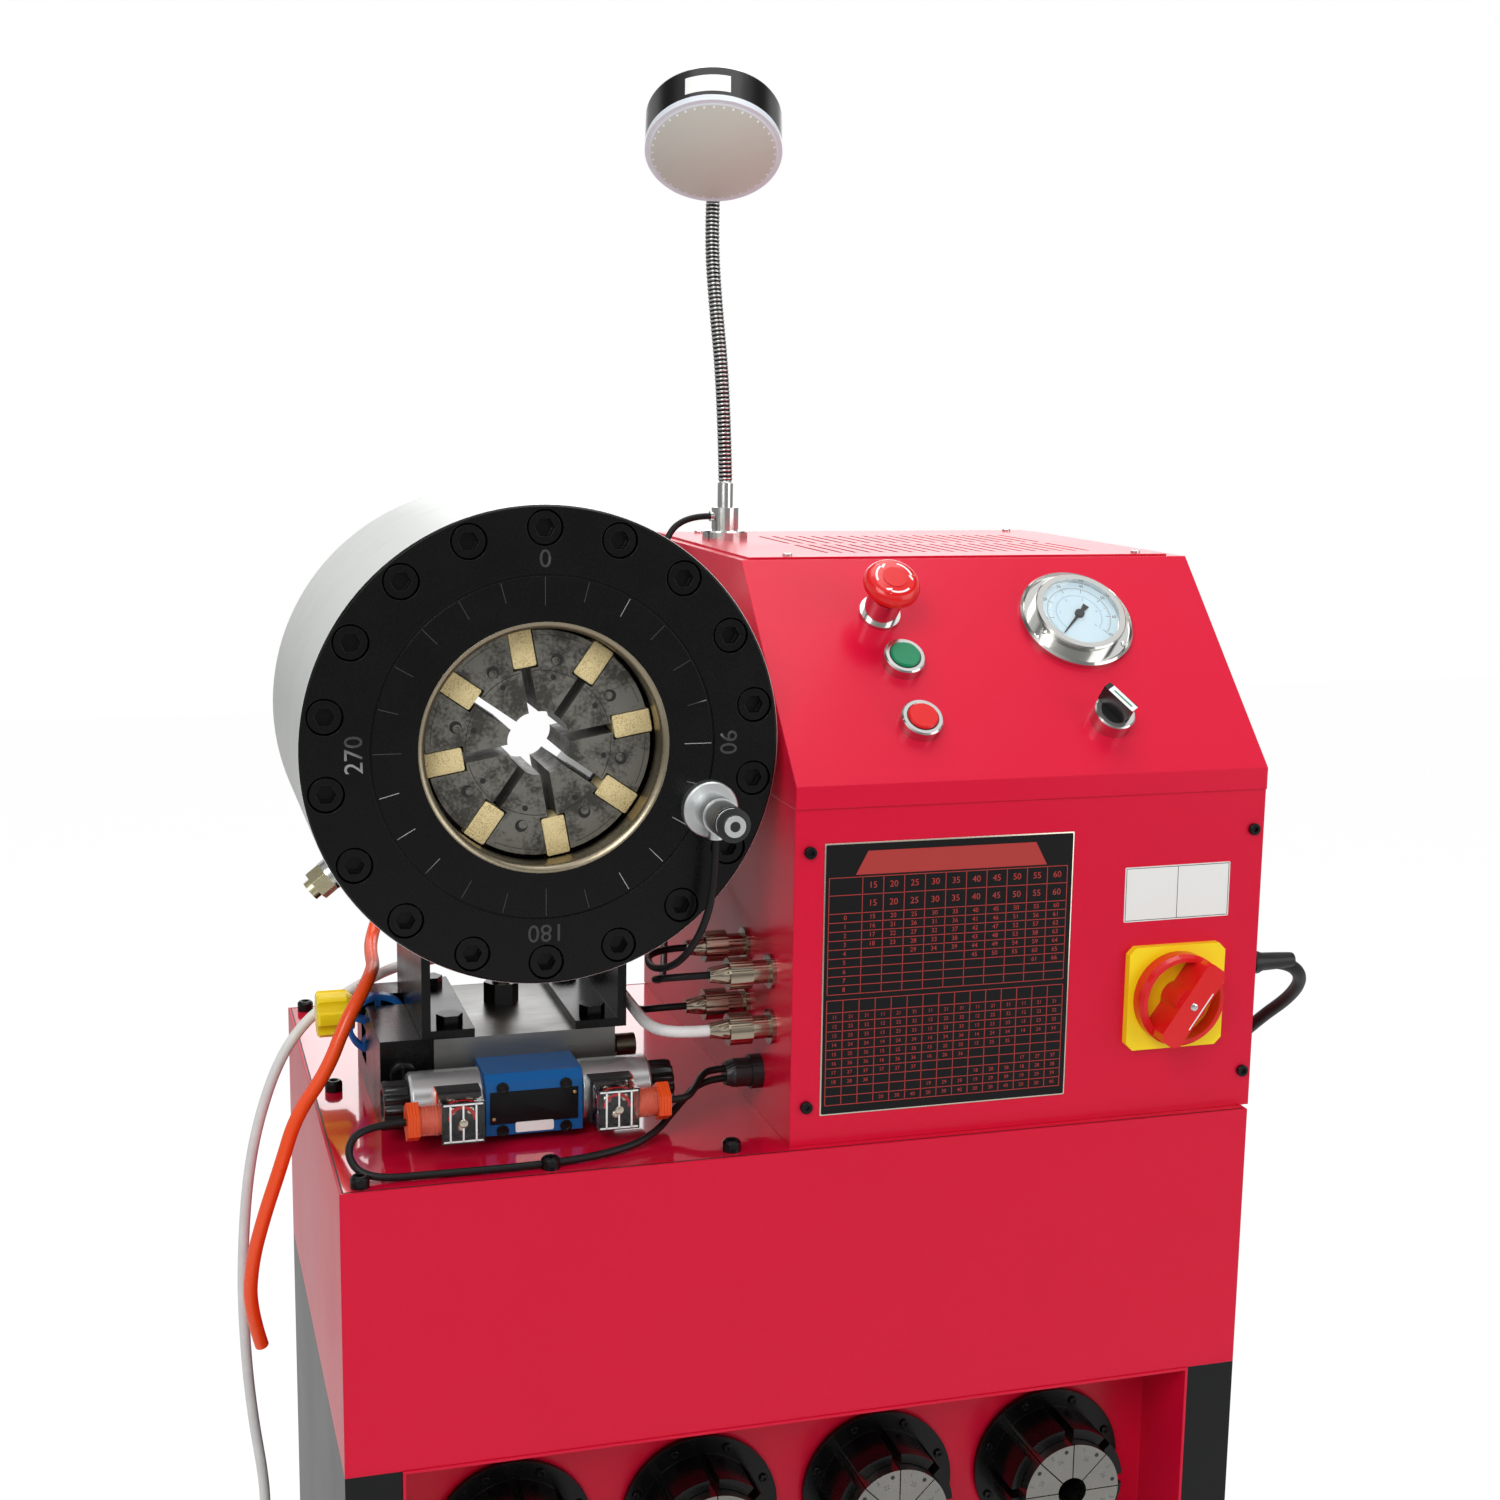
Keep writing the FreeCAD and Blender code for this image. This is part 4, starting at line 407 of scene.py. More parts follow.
black_jacket = jacket("black_jacket", (0.006, 0.006, 0.006), 0.42)
black_jacket.set("Specular IOR Level", 0.25)
white_jacket = jacket("white_jacket", (0.74, 0.74, 0.73))
orange_hose = jacket("orange_hose", (1.0, 0.085, 0.008), 0.3)
white_ink = Finish("white_ink", (0.85, 0.85, 0.85), 0.4)
black_ink = Finish("black_ink", (0.01, 0.01, 0.01), 0.4)
grey_ink = Finish("engraved_grey", (0.12, 0.12, 0.125), 0.45, 0.5)
print("finishes", len(bpy.data.materials))

# %% [markdown]
# ## Surfaces from arrays
#
# Most small pieces are either turned on a lathe or cut from flat stock. A turned piece is a profile of radius
# and height carried round an axis. A flat piece is an outline whose edge is rounded by a few smaller copies
# of itself. Both are grids of points, so one function joins any grid into a mesh.

# %% Mesh helpers


def linked(name, data):
    """A new object at the origin, put into the scene."""
    made = bpy.data.objects.new(name, data)
    bpy.context.scene.collection.objects.link(made)
    return made


def mesh_piece(name, points, faces, finish, body=MACHINE, slot=None, sharp=32, matrix=None):
    """Put points and faces into an object at the origin and let it ride on a body."""
    mesh = bpy.data.meshes.new(name)
    mesh.from_pydata(np.asarray(points, float).reshape(-1, 3).tolist(), [], [tuple(face) for face in faces])
    if matrix is not None:
        mesh.transform(matrix)
    shell = bmesh.new()
    shell.from_mesh(mesh)
    bmesh.ops.recalc_face_normals(shell, faces=shell.faces)
    shell.to_mesh(mesh)
    shell.free()
    mesh.update()
    mesh.polygons.foreach_set("use_smooth", np.ones(len(mesh.polygons), bool))
    mesh.set_sharp_from_angle(angle=math.radians(sharp))
    mesh.materials.append(finish.material)
    piece = linked(name, mesh)
    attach(piece, body)
    return piece


def grid_faces(rows, columns):
    """Quads between rows of a grid whose columns close into a ring."""
    row, column = np.meshgrid(np.arange(rows - 1), np.arange(columns), indexing="ij")
    following = (column + 1) % columns
    corners = [row * columns + column, row * columns + following,
               (row + 1) * columns + following, (row + 1) * columns + column]
    return np.stack(corners, -1).reshape(-1, 4)


def closed_faces(rows, columns):
    """The same quads with one more face over each end."""
    last = (rows - 1) * columns
    return grid_faces(rows, columns).tolist() + [list(range(columns))[::-1], list(range(last, last + columns))]


def full_turn(steps):
    return np.linspace(0, FULL_TURN, steps, endpoint=False)


def turned_points(radii, heights, steps):
    """One ring of points for each height; a ring's radius may be one number or change with the angle."""
    angle = full_turn(steps)
    heights = np.broadcast_to(np.asarray(heights, float)[:, None], (len(heights), steps))
    return np.stack([radii * np.cos(angle), radii * np.sin(angle), heights], -1).reshape(-1, 3)


def turned_surface(profile, steps=48):
    """Points and faces of a profile (radius, height) turned about the third axis; its ends are closed."""
    radius, height = np.asarray(profile, float).T
    return turned_points(radius[:, None], height, steps), closed_faces(len(profile), steps)


def turned(name, profile, matrix, finish, body=MACHINE, slot=None, steps=48):
    """A piece turned on a lathe: its profile (radius, height) runs from the back end to the front end."""
    return mesh_piece(name, *turned_surface(profile, steps), finish, body, slot, matrix=matrix)


def ring(name, profile, matrix, finish, slot, steps=64, sharp=32, body=MACHINE):
    """A turned piece with a hole: its profile is a closed loop, anticlockwise in radius and height."""
    points = turned_surface(profile, steps)[0]
    quads = grid_faces(len(profile) + 1, steps) % len(points)
    return mesh_piece(name, points, quads.tolist(), finish, body, slot, sharp, matrix)


def rounded_box(width, height, corner, steps=5):
    """Outline of a rectangle with round corners, anticlockwise about its middle."""
    quarter = np.linspace(0, math.pi / 2, steps)
    parts = []
    for index, (sign_x, sign_y) in enumerate(((1, 1), (-1, 1), (-1, -1), (1, -1))):
        angle = quarter + index * math.pi / 2
        middle = np.array([sign_x * (width / 2 - corner), sign_y * (height / 2 - corner)])
        parts.append(middle + corner * np.stack([np.cos(angle), np.sin(angle)], -1))
    return np.concatenate(parts)


def unit(steps):
    """Each row divided by its length."""
    return steps / np.maximum(np.linalg.norm(steps, axis=1, keepdims=True), 1e-9)


def shrunk(outline, amount):
    """The outline moved inwards along its corners' normals."""
    first = unit(outline - np.roll(outline, 1, 0))
    second = unit(np.roll(outline, -1, 0) - outline)
    along = unit(first + second)
    inward = np.stack([-along[:, 1], along[:, 0]], -1)
    return outline + inward * amount


def layered_surface(outline, layers):
    """Copies of one outline, each with its own (inset, height), joined into a closed skin."""
    outline = np.asarray(outline, float)
    count = len(outline)
    rows = [np.column_stack([shrunk(outline, inset), np.full(count, height)]) for inset, height in layers]
    return np.concatenate(rows), closed_faces(len(rows), count)


def slab_surface(outline, thickness, bevel=0.0, base=0.0):
    """Points and faces of a flat piece whose front edge is rounded by three smaller copies of its outline."""
    turns = (0, math.pi / 4, math.pi / 2) if bevel else (0,)
    layers = [(bevel * (1 - math.cos(turn)), base + thickness - bevel * (1 - math.sin(turn))) for turn in turns]
    return layered_surface(outline, [(0.0, base), *layers])


def slab(name, outline, thickness, matrix, finish, bevel=0.0):
    return mesh_piece(name, *slab_surface(outline, thickness, bevel), finish, sharp=40, matrix=matrix)


def joined(name, parts, finish, slot=None, body=MACHINE, sharp=32):
    """Several (points, faces, matrix) surfaces as one piece."""
    all_points = []
    all_faces = []
    offset = 0
    for points, faces, matrix in parts:
        carry = np.array(matrix)
        all_points.append(points @ carry[:3, :3].T + carry[:3, 3])
        all_faces.extend([[index + offset for index in face] for face in faces])
        offset += len(points)
    return mesh_piece(name, np.concatenate(all_points), all_faces, finish, body, slot, sharp)


def copies(name, surface, places, finish, slot=None, body=MACHINE, sharp=32):
    """One surface at several places, as one piece."""
    return joined(name, [(*surface, place) for place in places], finish, slot, body, sharp)


def circle(radius, steps=24):
    angle = full_turn(steps)
    return radius * np.stack([np.cos(angle), np.sin(angle)], -1)


def rectangle(width, height, x=0.0, y=0.0):
    return np.array([(x + across * width / 2, y + up * height / 2)
                     for across, up in ((-1, -1), (1, -1), (1, 1), (-1, 1))])


# %% [markdown]
# ## Numerals
#
# A dial needs plain numbers, and Blender's own font gives each numeral a clean outline. A curve or a text is
# turned into points and faces first, which then go to their place, so the finished object stays at the
# origin.

# %% Numeral meshes


def curve_surface(curve):
    """Points and faces of a curve as Blender works them out; the curve itself is taken away again."""
    maker = linked(curve.name, curve)
    mesh = bpy.data.meshes.new_from_object(maker.evaluated_get(bpy.context.evaluated_depsgraph_get()))
    points = np.zeros(len(mesh.vertices) * 3)
    mesh.vertices.foreach_get("co", points)
    faces = [list(polygon.vertices) for polygon in mesh.polygons]
    bpy.data.objects.remove(maker)
    bpy.data.curves.remove(curve)
    bpy.data.meshes.remove(mesh)
    return points.reshape(-1, 3), faces


def numeral_surface(text, size, depth=0.00005):
    """Points and faces of a short text, centred on its own plane."""
    curve = bpy.data.curves.new("numeral", "FONT")
    curve.body = text
    curve.size = size
    curve.align_x = "CENTER"
    curve.align_y = "CENTER"
    curve.extrude = depth
    curve.resolution_u = 3
    return curve_surface(curve)


NUMERALS = {}


def numeral(text, size, matrix):
    """One text ready to be joined: worked out once for each text and size."""
    key = (text, round(size, 6))
    if key not in NUMERALS:
        NUMERALS[key] = numeral_surface(text, size)
    points, faces = NUMERALS[key]
    return points, faces, matrix


# %% [markdown]
# ## Finishes of the solids
#
# Most solids already have the right shape, so they only take their finish. A node's mesh isn't changed.

# %% Give each node its finish

FINISHES = {
    black_paint: ["stand_frame"],
    crimson: ["die_tray", "oil_tank", "electrics_case", "front_panel", "console_cover", "vent_lid"],
    gloss_crimson: ["top_plate"],
    black_steel: ["die_holders", "cap_screws", "relief_block", "bracket_bolts", "head_brackets"],
    silver_barrel: ["barrel"],
    plain_steel: ["manifold_block", "piston"],
    dark_steel: [f"jaw_{index}" for index in range(1, 9)],
    die_steel: ["stored_dies"],
    chrome: ["control_bezels", "gauge_case", "lamp_stem", "gooseneck"],
    satin_silver: ["micrometer_base"],
    coil_silver: ["solenoid_coils"],
    blue_paint: ["valve_body"],
    black_plastic: ["coil_nuts", "selector_lever", "power_plug", "gauge_pointer"],
    blue_plastic: ["blue_handwheel"],
    yellow_plastic: ["isolator_plate", "yellow_handwheel"],
    red_plastic: ["estop_mushroom", "open_button", "isolator_knob"],
    green_plastic: ["close_button"],
}


def wear(node, finish):
    """Give one node one finish."""
    NODES[node].data.materials.clear()
    NODES[node].data.materials.append(finish.material)


for finish, names in FINISHES.items():
    for name in names:
        wear(name, finish)
print("plain finishes on", sum(len(names) for names in FINISHES.values()), "nodes")

# %% [markdown]
# Some solids hold parts of several colours: a coil plug is a black base, a clear housing and an orange nut. The
# finish tells them apart by their place, which is a simple comparison on the Object coordinates.

# %% Fittings and connectors

cap_finish = ground_metal("front_cap", OXIDE_BLACK, 0.26, 0.1, 0.0007)
cap_finish.set("Specular IOR Level", 0.24)
on_rim = cap_finish.from_axis(HEAD_X, HEAD_Z) > CAP_RADIUS - 0.0004
cap_side = on_rim * (cap_finish.axis("Y") > CAP_FACE + 0.0012)
cap_finish.set("Metallic", 0.0).zones((cap_side, PALE_STEEL, 0.42, 0.35))
wear("front_cap", cap_finish)

thimble_finish = ground_metal("thimble", SATIN, 0.36, 0.04)
# The hole in the thimble's end is painted black, as painted shade.
hole_shade_mask = thimble_finish.from_axis(*THIMBLE_AXIS) < THIMBLE_HOLE
at_end = thimble_finish.axis("Y") < THIMBLE_END + 0.0002
thimble_finish.zones((hole_shade_mask * at_end, PLASTIC_BLACK, 0.4, 0))
wear("micrometer_thimble", thimble_finish)

fittings = ground_metal("fittings", (0.62, 0.56, 0.36), 0.3, 0.1)
feed_nut = fittings.between("X", -0.205, -0.165) * (fittings.axis("Z") < 0.8785)
power_gland = fittings.axis("X") > 0.3
cable_gland = (fittings.axis("X") < -0.31) * (fittings.axis("Z") < 0.5)
near_barrel = fittings.along((HEAD_X, 0, HEAD_Z), PORT_WAY) < 0.164
side_boss = near_barrel * (fittings.axis("X") < -0.29) * (fittings.axis("Z") > 0.9)
bleed_plug = fittings.between("X", -0.12, 0)
fittings.zones((side_boss, (0.62, 0.62, 0.6), 0.25, 1), (feed_nut, PLASTIC_BLACK, 0.3, 0),
               (power_gland, PLASTIC_BLACK, 0.4, 0), (cable_gland, PLASTIC_BLACK, 0.4, 0),
               (bleed_plug, (0.14, 0.12, 0.09), 0.35, 1))
wear("hose_fittings", fittings)

connector = ground_metal("connector_nickel", (0.4, 0.34, 0.26), 0.17, 0.06, 0.0003)
connector.bump(connector.bands("Y", 190.0), 0.0004, 0.5)
cable_bush = connector.axis("Z") < 0.845
connector.zones((cable_bush, PLASTIC_BLACK, 0.4, 0))
wear("connectors", connector)

# %% Coil plugs

plug_clear = Finish("coil_plug", PLASTIC_BLACK, 0.35)
nut_zone = plug_clear.outside("X", -0.2639, -0.1041)
gland_zone = plug_clear.outside("X", -0.2501, -0.1179)
plug_clear.zones((gland_zone, (0.9, 0.14, 0.07), 0.15, 0), (nut_zone, (0.88, 0.085, 0.01), 0.3, 0))
plug_clear.bump(plug_clear.bands("X", 150.0) * gland_zone, 0.0008, 0.8)
clear = plug_clear.node("ShaderNodeBsdfPrincipled", None, {
    "Base Color": (0.98, 0.98, 0.97, 1), "Roughness": 0.03, "Transmission Weight": 1.0, "IOR": 1.49})
ridges = plug_clear.noise(260, 1, (1, 0.2, 1))
clear_bump = plug_clear.node("ShaderNodeBump", None, {"Height": ridges, "Distance": 0.0006, "Strength": 0.6})
plug_clear.plug(clear.socket.node.inputs["Normal"], clear_bump)
housing = (plug_clear.axis("Y") < -0.1512) * (1 - gland_zone * 0.55 - nut_zone * 0.45).limit()
plug_clear.mix_with(clear, housing * 0.9)
wear("din_plugs", plug_clear)

# %% Lamp drum

LAMP_FACE = (0.002, 0.1, 1.478)
lamp_turn = Matrix.Rotation(math.radians(-15.6), 4, "Z") @ Matrix.Rotation(math.radians(141), 4, "X")
lamp_plane = Matrix.Translation(LAMP_FACE) @ lamp_turn
lamp_way = lamp_turn.to_3x3() @ Vector((0, 0, 1))
drum = Finish("lamp_drum", (0.006, 0.006, 0.007), 0.2, Specular_IOR_Level=0.2)
drum.set("Roughness", 0.2 + drum.noise(30, 2) * 0.1)
height = drum.along(LAMP_FACE, lamp_way)
from_middle = drum.along(LAMP_FACE, lamp_turn.to_3x3() @ Vector((1, 0, 0)))
from_side = drum.along(LAMP_FACE, lamp_turn.to_3x3() @ Vector((0, 1, 0)))
spread = (from_middle * from_middle + from_side * from_side) ** 0.5
lens = height > 0.0004
lens_rim = (height > -0.0055) * (spread > 0.0475)
drum_top = height < -0.0335
drum.zones((lens, (0.56, 0.56, 0.5), 0.4, 0), (lens_rim, (0.7, 0.74, 0.8), 0.25, 0),
           (drum_top, (0.6, 0.6, 0.56), 0.3, 0.9))
drum.bump(drum.noise(700, 2), 0.00005, 0.25)
wear("lamp_head", drum)

# %% [markdown]
# ## Cables and hoses
#
# A cable bends in one smooth line, so each is a NURBS spline. Its control points are the corners of the route
# that the solid follows. The order is set after the points, because before that Blender keeps straight runs.

# %% Cable routes

GOOSENECK = [
    (20, 119.3, 1229.3), (18, 120, 1300), (13, 132, 1375), (14, 146, 1418), (16.4, 151.8, 1447.6),
]
PROBE_LEAD = [
    (-74, -196, 1014), (-74, -196, 988), (-80, -194, 955), (-92, -175, 925), (-102, -135, 911),
    (-94, -91, 913), (-65.7, -91, 913),
]
LAMP_LEAD = [
    (7.5, 119.3, 1203), (-12, 119.3, 1203), (-30, 118, 1186), (-36, 110, 1140), (-38, 98, 1070),
    (-40, 85, 1000), (-43, 65, 940), (-52, 20, 900), (-68, -40, 892), (-84, -100, 893), (-100, -130, 903),
    (-92, -152.5, 910), (-65.7, -152.5, 910),
]
HEAD_LEAD = [
    (-65.7, -92, 870.7), (-84, -92, 870.7), (-97, -79, 866), (-97, -40, 860), (-94, 20, 862),
    (-86, 70, 880), (-90, 104, 915), (-95, 116, 965), (-100, 98, 1010), (-100, 64, 1010),
]
WHITE_CABLE = [
    (-65.7, -154.5, 871.5), (-88, -154.5, 871.5), (-103.8, -138.7, 872), (-103.8, -90, 873),
    (-103.8, -20, 874), (-103.5, 32, 875), (-122, 60, 875), (-165, 70, 874), (-205, 73, 872),
    (-249.6, 70, 868.7), (-284, 64, 853), (-314.5, 57, 838), (-338, 46, 811), (-355, 40, 766),
    (-364, 40, 720), (-368.6, 40, 666), (-369.8, 40, 618), (-366.6, 40, 546), (-355.4, 40, 463),
    (-362, 40, 430), (-380, 40, 400), (-364, 40, 370), (-330, 40, 370),
]
RIGHT_COIL_LEAD = [
    (-46.7, -128, 834.5), (-56.1, -128, 834.5), (-64.1, -132.6, 833.5), (-78.1, -156.9, 828.3),
    (-86.1, -161.4, 827.25), (-96, -161.4, 827.25),
]
LEFT_COIL_LEAD = [
    (-46.7, -128, 827.6), (-64, -128, 827.6), (-84, -142, 815), (-110, -172, 805), (-150, -190, 803),
    (-200, -196, 803), (-255, -194.5, 803), (-301.7, -194, 803), (-313.4, -177.8, 815.2),
    (-301.7, -161.4, 827.25), (-272, -161.4, 827.25),
]
DRAIN_HOSE = [
    (-232, 64, 945), (-232, 112, 945), (-240, 132, 925), (-253, 132, 897), (-263, 112, 878),
    (-267, 75, 877), (-270, 35, 881), (-274, 2, 886), (-282, -24, 881), (-298, -40, 860), (-312, -47, 828),
    (-334, -48, 798), (-345, -47, 762), (-357, -43, 725), (-366, -34, 687), (-368, -24, 648),
    (-359.6, -15, 615),
]
POWER_LEAD = [
    (351.9, -147.7, 890), (378, -147.7, 890), (402, -138, 875), (412, -110, 850), (412, -60, 815),
    (408, 20, 745), (402, 100, 650), (392, 170, 530), (382, 215, 400), (372, 238, 270), (360, 254, 150),
    (345, 272, 70), (325, 291, 18), (300, 315, 6), (272, 341, 5.2),
]

# %% Spline of a route


def spline_curve(name, route, steps=10):
    """A smooth NURBS spline that is pulled by its route's corners, in millimetres."""
    curve = bpy.data.curves.new(name, "CURVE")
    curve.dimensions = "3D"
    curve.resolution_u = steps
    spline = curve.splines.new("NURBS")
    spline.points.add(len(route) - 1)
    for point, place in zip(spline.points, route):
        point.co = (*[part * MM for part in place], 1)
    spline.order_u = 3
    spline.use_endpoint_u = True
    return curve


def spline_piece(name, route, radius, finish):
    """A round cable along a spline."""
    curve = spline_curve(name, route)
    curve.bevel_depth = radius * MM
    curve.bevel_resolution = 6
    curve.use_fill_caps = True
    curve.materials.append(finish.material)
    piece = linked(name, curve)
    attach(piece, MACHINE)
    return piece


def length_of(route):
    """The length of a route's spline in metres."""
    points = curve_surface(spline_curve("centreline", route))[0]
    return float(np.linalg.norm(np.diff(points, axis=0), axis=1).sum())


LEADS = {
    "probe_lead": (PROBE_LEAD, 2.5, black_jacket, "limp"),
    "lamp_lead": (LAMP_LEAD, 2.5, black_jacket, "limp"),
    "head_lead": (HEAD_LEAD, 2.5, black_jacket, "limp"),
    "white_cable": (WHITE_CABLE, 4, white_jacket, "medium"),
    "right_coil_lead": (RIGHT_COIL_LEAD, 2.5, black_jacket, "limp"),
    "left_coil_lead": (LEFT_COIL_LEAD, 2.5, black_jacket, "limp"),
    "drain_hose": (DRAIN_HOSE, 5, orange_hose, "medium"),
}
for name, (route, radius, finish, stiffness) in LEADS.items():
    piece = spline_piece(name + "_line", route, radius, finish)
    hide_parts(name)
    length = length_of(route)
    print(name, "is", round(length, 3), "m long")

# %% [markdown]
# The power cable runs down behind the cabinet and its spare length lies in a coil on the floor. The coil's
# turns are a loop of points on the same spline: two layers of two turns side by side, and one turn on top.

# %% Power cable

COIL_X = 202.5
COIL_Y = 324
POWER_RADIUS = 5
COIL_LAYERS = ((61, 5.2), (51, 5.2), (51, 15.4), (61, 15.4), (56, 25.5))
COIL_START = math.radians(46)
POINTS_PER_TURN = 14


def coil_points():
    """Five turns: each goes once round its radius, then eases to the next radius and height."""
    points = []
    spread = 1 / math.cos(math.pi / POINTS_PER_TURN)
    for index, (radius, height) in enumerate(COIL_LAYERS):
        next_radius, next_height = COIL_LAYERS[min(index + 1, len(COIL_LAYERS) - 1)]
        for step in range(POINTS_PER_TURN):
            part = step / POINTS_PER_TURN
            ease = max(0.0, part - 0.65) / 0.35
            turn = COIL_START + FULL_TURN * part
            wide = (radius + (next_radius - radius) * ease) * spread
            points.append((COIL_X + wide * math.cos(turn), COIL_Y + wide * math.sin(turn),
                           height + (next_height - height) * ease))
    return points


COIL_EXIT = [(COIL_X + 39, COIL_Y + 40, 25.5), (COIL_X + 24, 379, 27), (COIL_X, 380, 30), (180, 380, 31),
             (158, 380, 31)]
power_route = POWER_LEAD + coil_points() + COIL_EXIT
power_line = spline_piece("power_line", power_route, POWER_RADIUS, black_jacket)
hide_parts("power_lead", "power_coil")
power_length = length_of(power_route)
print("power cable is", round(power_length, 3), "m long")

# %% [markdown]
# The cable leaves the cabinet through a gland, and a tapered rubber sleeve keeps it from being bent sharply
# there.

# %% Tapered sleeve at the cabinet

sleeve = [(0.0052, 0), (0.0085, 0), (0.0085, 0.004), (0.0068, 0.008), (0.0063, 0.02), (0.0056, 0.032),
          (0.0052, 0.034)]
ring("power_sleeve", sleeve, facing_right(0.352, -0.1477, 0.89), black_plastic, "black_plastic")

# %% [markdown]
# ## Lamp neck
#
# A gooseneck is a wound steel strip, so its outside is a row of small rounded ridges. Its profile is a circle
# whose radius swells and sinks along the path, and every ring of points stands square to the path.

# %% Corrugated neck


def tube_along(points, radii, columns=20):
    """Rings of the given radii, each square to the path. The frame is carried along, so it doesn't twist."""
    tangent = np.gradient(points, axis=0)
    tangent /= np.linalg.norm(tangent, axis=1, keepdims=True)
    side = np.zeros_like(points)
    side[0] = np.cross(tangent[0], (0.0, 1.0, 0.1))
    for index in range(1, len(points)):
        side[index] = side[index - 1] - tangent[index] * np.dot(side[index - 1], tangent[index])
    side /= np.linalg.norm(side, axis=1, keepdims=True)
    other = np.cross(tangent, side)
    angle = full_turn(columns)[None, :, None]
    circle_part = side[:, None] * np.cos(angle) + other[:, None] * np.sin(angle)
    grid = points[:, None] + circle_part * np.asarray(radii)[:, None, None]
    return grid.reshape(-1, 3), closed_faces(len(points), columns)


def even_points(points, spacing):
    """The same line with points at an even spacing."""
    reach = np.concatenate([[0], np.cumsum(np.linalg.norm(np.diff(points, axis=0), axis=1))])
    count = max(2, int(round(reach[-1] / spacing)) + 1)
    want = np.linspace(0, reach[-1], count)
    return np.stack([np.interp(want, reach, points[:, axis]) for axis in range(3)], -1)


NECK_RADIUS = 0.0058
NECK_PITCH = 0.0032
neck_line = even_points(curve_surface(spline_curve("centreline", GOOSENECK, 24))[0], NECK_PITCH / 4)
neck_radii = NECK_RADIUS - 0.0006 + 0.0006 * np.cos(np.arange(len(neck_line)) * math.pi / 2)
neck_points, neck_faces = tube_along(neck_line, neck_radii)
neck_chrome = Finish("neck_chrome", (0.62, 0.62, 0.6), 0.22, 1.0)
neck_chrome.set("Roughness", 0.2 + neck_chrome.noise(80, 2) * 0.1)
neck = mesh_piece("neck_strip", neck_points, neck_faces, neck_chrome, "lamp_neck", "chrome", 80)
# A dark tube inside the ridges fills their grooves with painted shade.
groove_shade_line = neck_line[2:-2:4]
groove_shade_points, groove_shade_faces = tube_along(groove_shade_line, np.full(len(groove_shade_line), NECK_RADIUS - 0.00055))
mesh_piece("neck_groove_shade", groove_shade_points, groove_shade_faces, black_steel, "lamp_neck", "chrome", 80)
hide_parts("gooseneck")
print("neck ridges", len(neck_line) // 4)

# %% [markdown]
# ## Camera
#
# The camera stands where the photograph was taken, left of the middle and a little above the head, and its
# lens is about 50 mm long.

# %% Camera

CAMERA_PLACE = (-0.4351, -1.4647, 1.3001)
CAMERA_YAW = math.radians(16.81)
CAMERA_PITCH = math.radians(-9.777)
CAMERA_ROLL = math.radians(0.836)

camera_data = bpy.data.cameras.new("view")
camera_data.lens = 49.915
camera_data.sensor_width = 36
camera_data.sensor_fit = "HORIZONTAL"
camera_data.clip_end = 60
camera = linked("view", camera_data)
forward = Vector((math.sin(CAMERA_YAW) * math.cos(CAMERA_PITCH),
                  math.cos(CAMERA_YAW) * math.cos(CAMERA_PITCH), math.sin(CAMERA_PITCH)))
level = Vector((math.cos(CAMERA_YAW), -math.sin(CAMERA_YAW), 0))
upright = level.cross(forward)
view_right = level * math.cos(CAMERA_ROLL) + upright * math.sin(CAMERA_ROLL)
view_up = upright * math.cos(CAMERA_ROLL) - level * math.sin(CAMERA_ROLL)
view_matrix = Matrix((view_right, view_up, -forward)).transposed().to_4x4()
view_matrix.translation = CAMERA_PLACE
camera.matrix_world = view_matrix
bpy.context.scene.camera = camera

# %% [markdown]
# ## The press head
#
# Eight wedge jaws close on the hose. Each jaw holds a die segment with a pin and a locking screw, and carries a
# stamped number. The pin's hole and the screw's recess are dark discs of painted shade. The jaws move, so these
# small pieces ride on their own jaw.

# %% Places on the jaws

JAW_COUNT = 8
FIRST_JAW = 12.5
JAW_STEP = 45
SEAM_RADIUS = 0.0476
SEAM_HALF = 17.5
SHOULDER_RADIUS = 0.0705
SHOULDER_HALF = 12
PIN_RADIUS = 0.0437
SCREW_RADIUS = 0.0555
NUMBER_RADIUS = 0.0665
NUMBER_TURN = 13.2
JAW_PIN_HOLE_SHADE = [(0.0019, 0), (0.0019, 0.0001), (0.0012, 0.00012)]
JAW_RECESS_SHADE = [(0.0041, 0), (0.0041, 0.00008), (0.004, 0.0001)]
JAW_SCREW = [(0.0027, 0), (0.0027, 0.0006), (0.0027, 0.0009), (0.0016, 0.0009), (0.0013, 0.0004),
             (0.0001, 0.0004)]


def arc_strip(radius, width, start, stop, height=PRINT, steps=24):
    """A flat curved strip: two arcs, one half a width inside and one outside the radius, joined into a loop."""
    angle = np.radians(np.linspace(start, stop, steps))
    arc = np.stack([np.sin(angle), np.cos(angle)], -1)
    return slab_surface(np.concatenate([(radius - width / 2) * arc, (radius + width / 2) * arc[::-1]]), height)


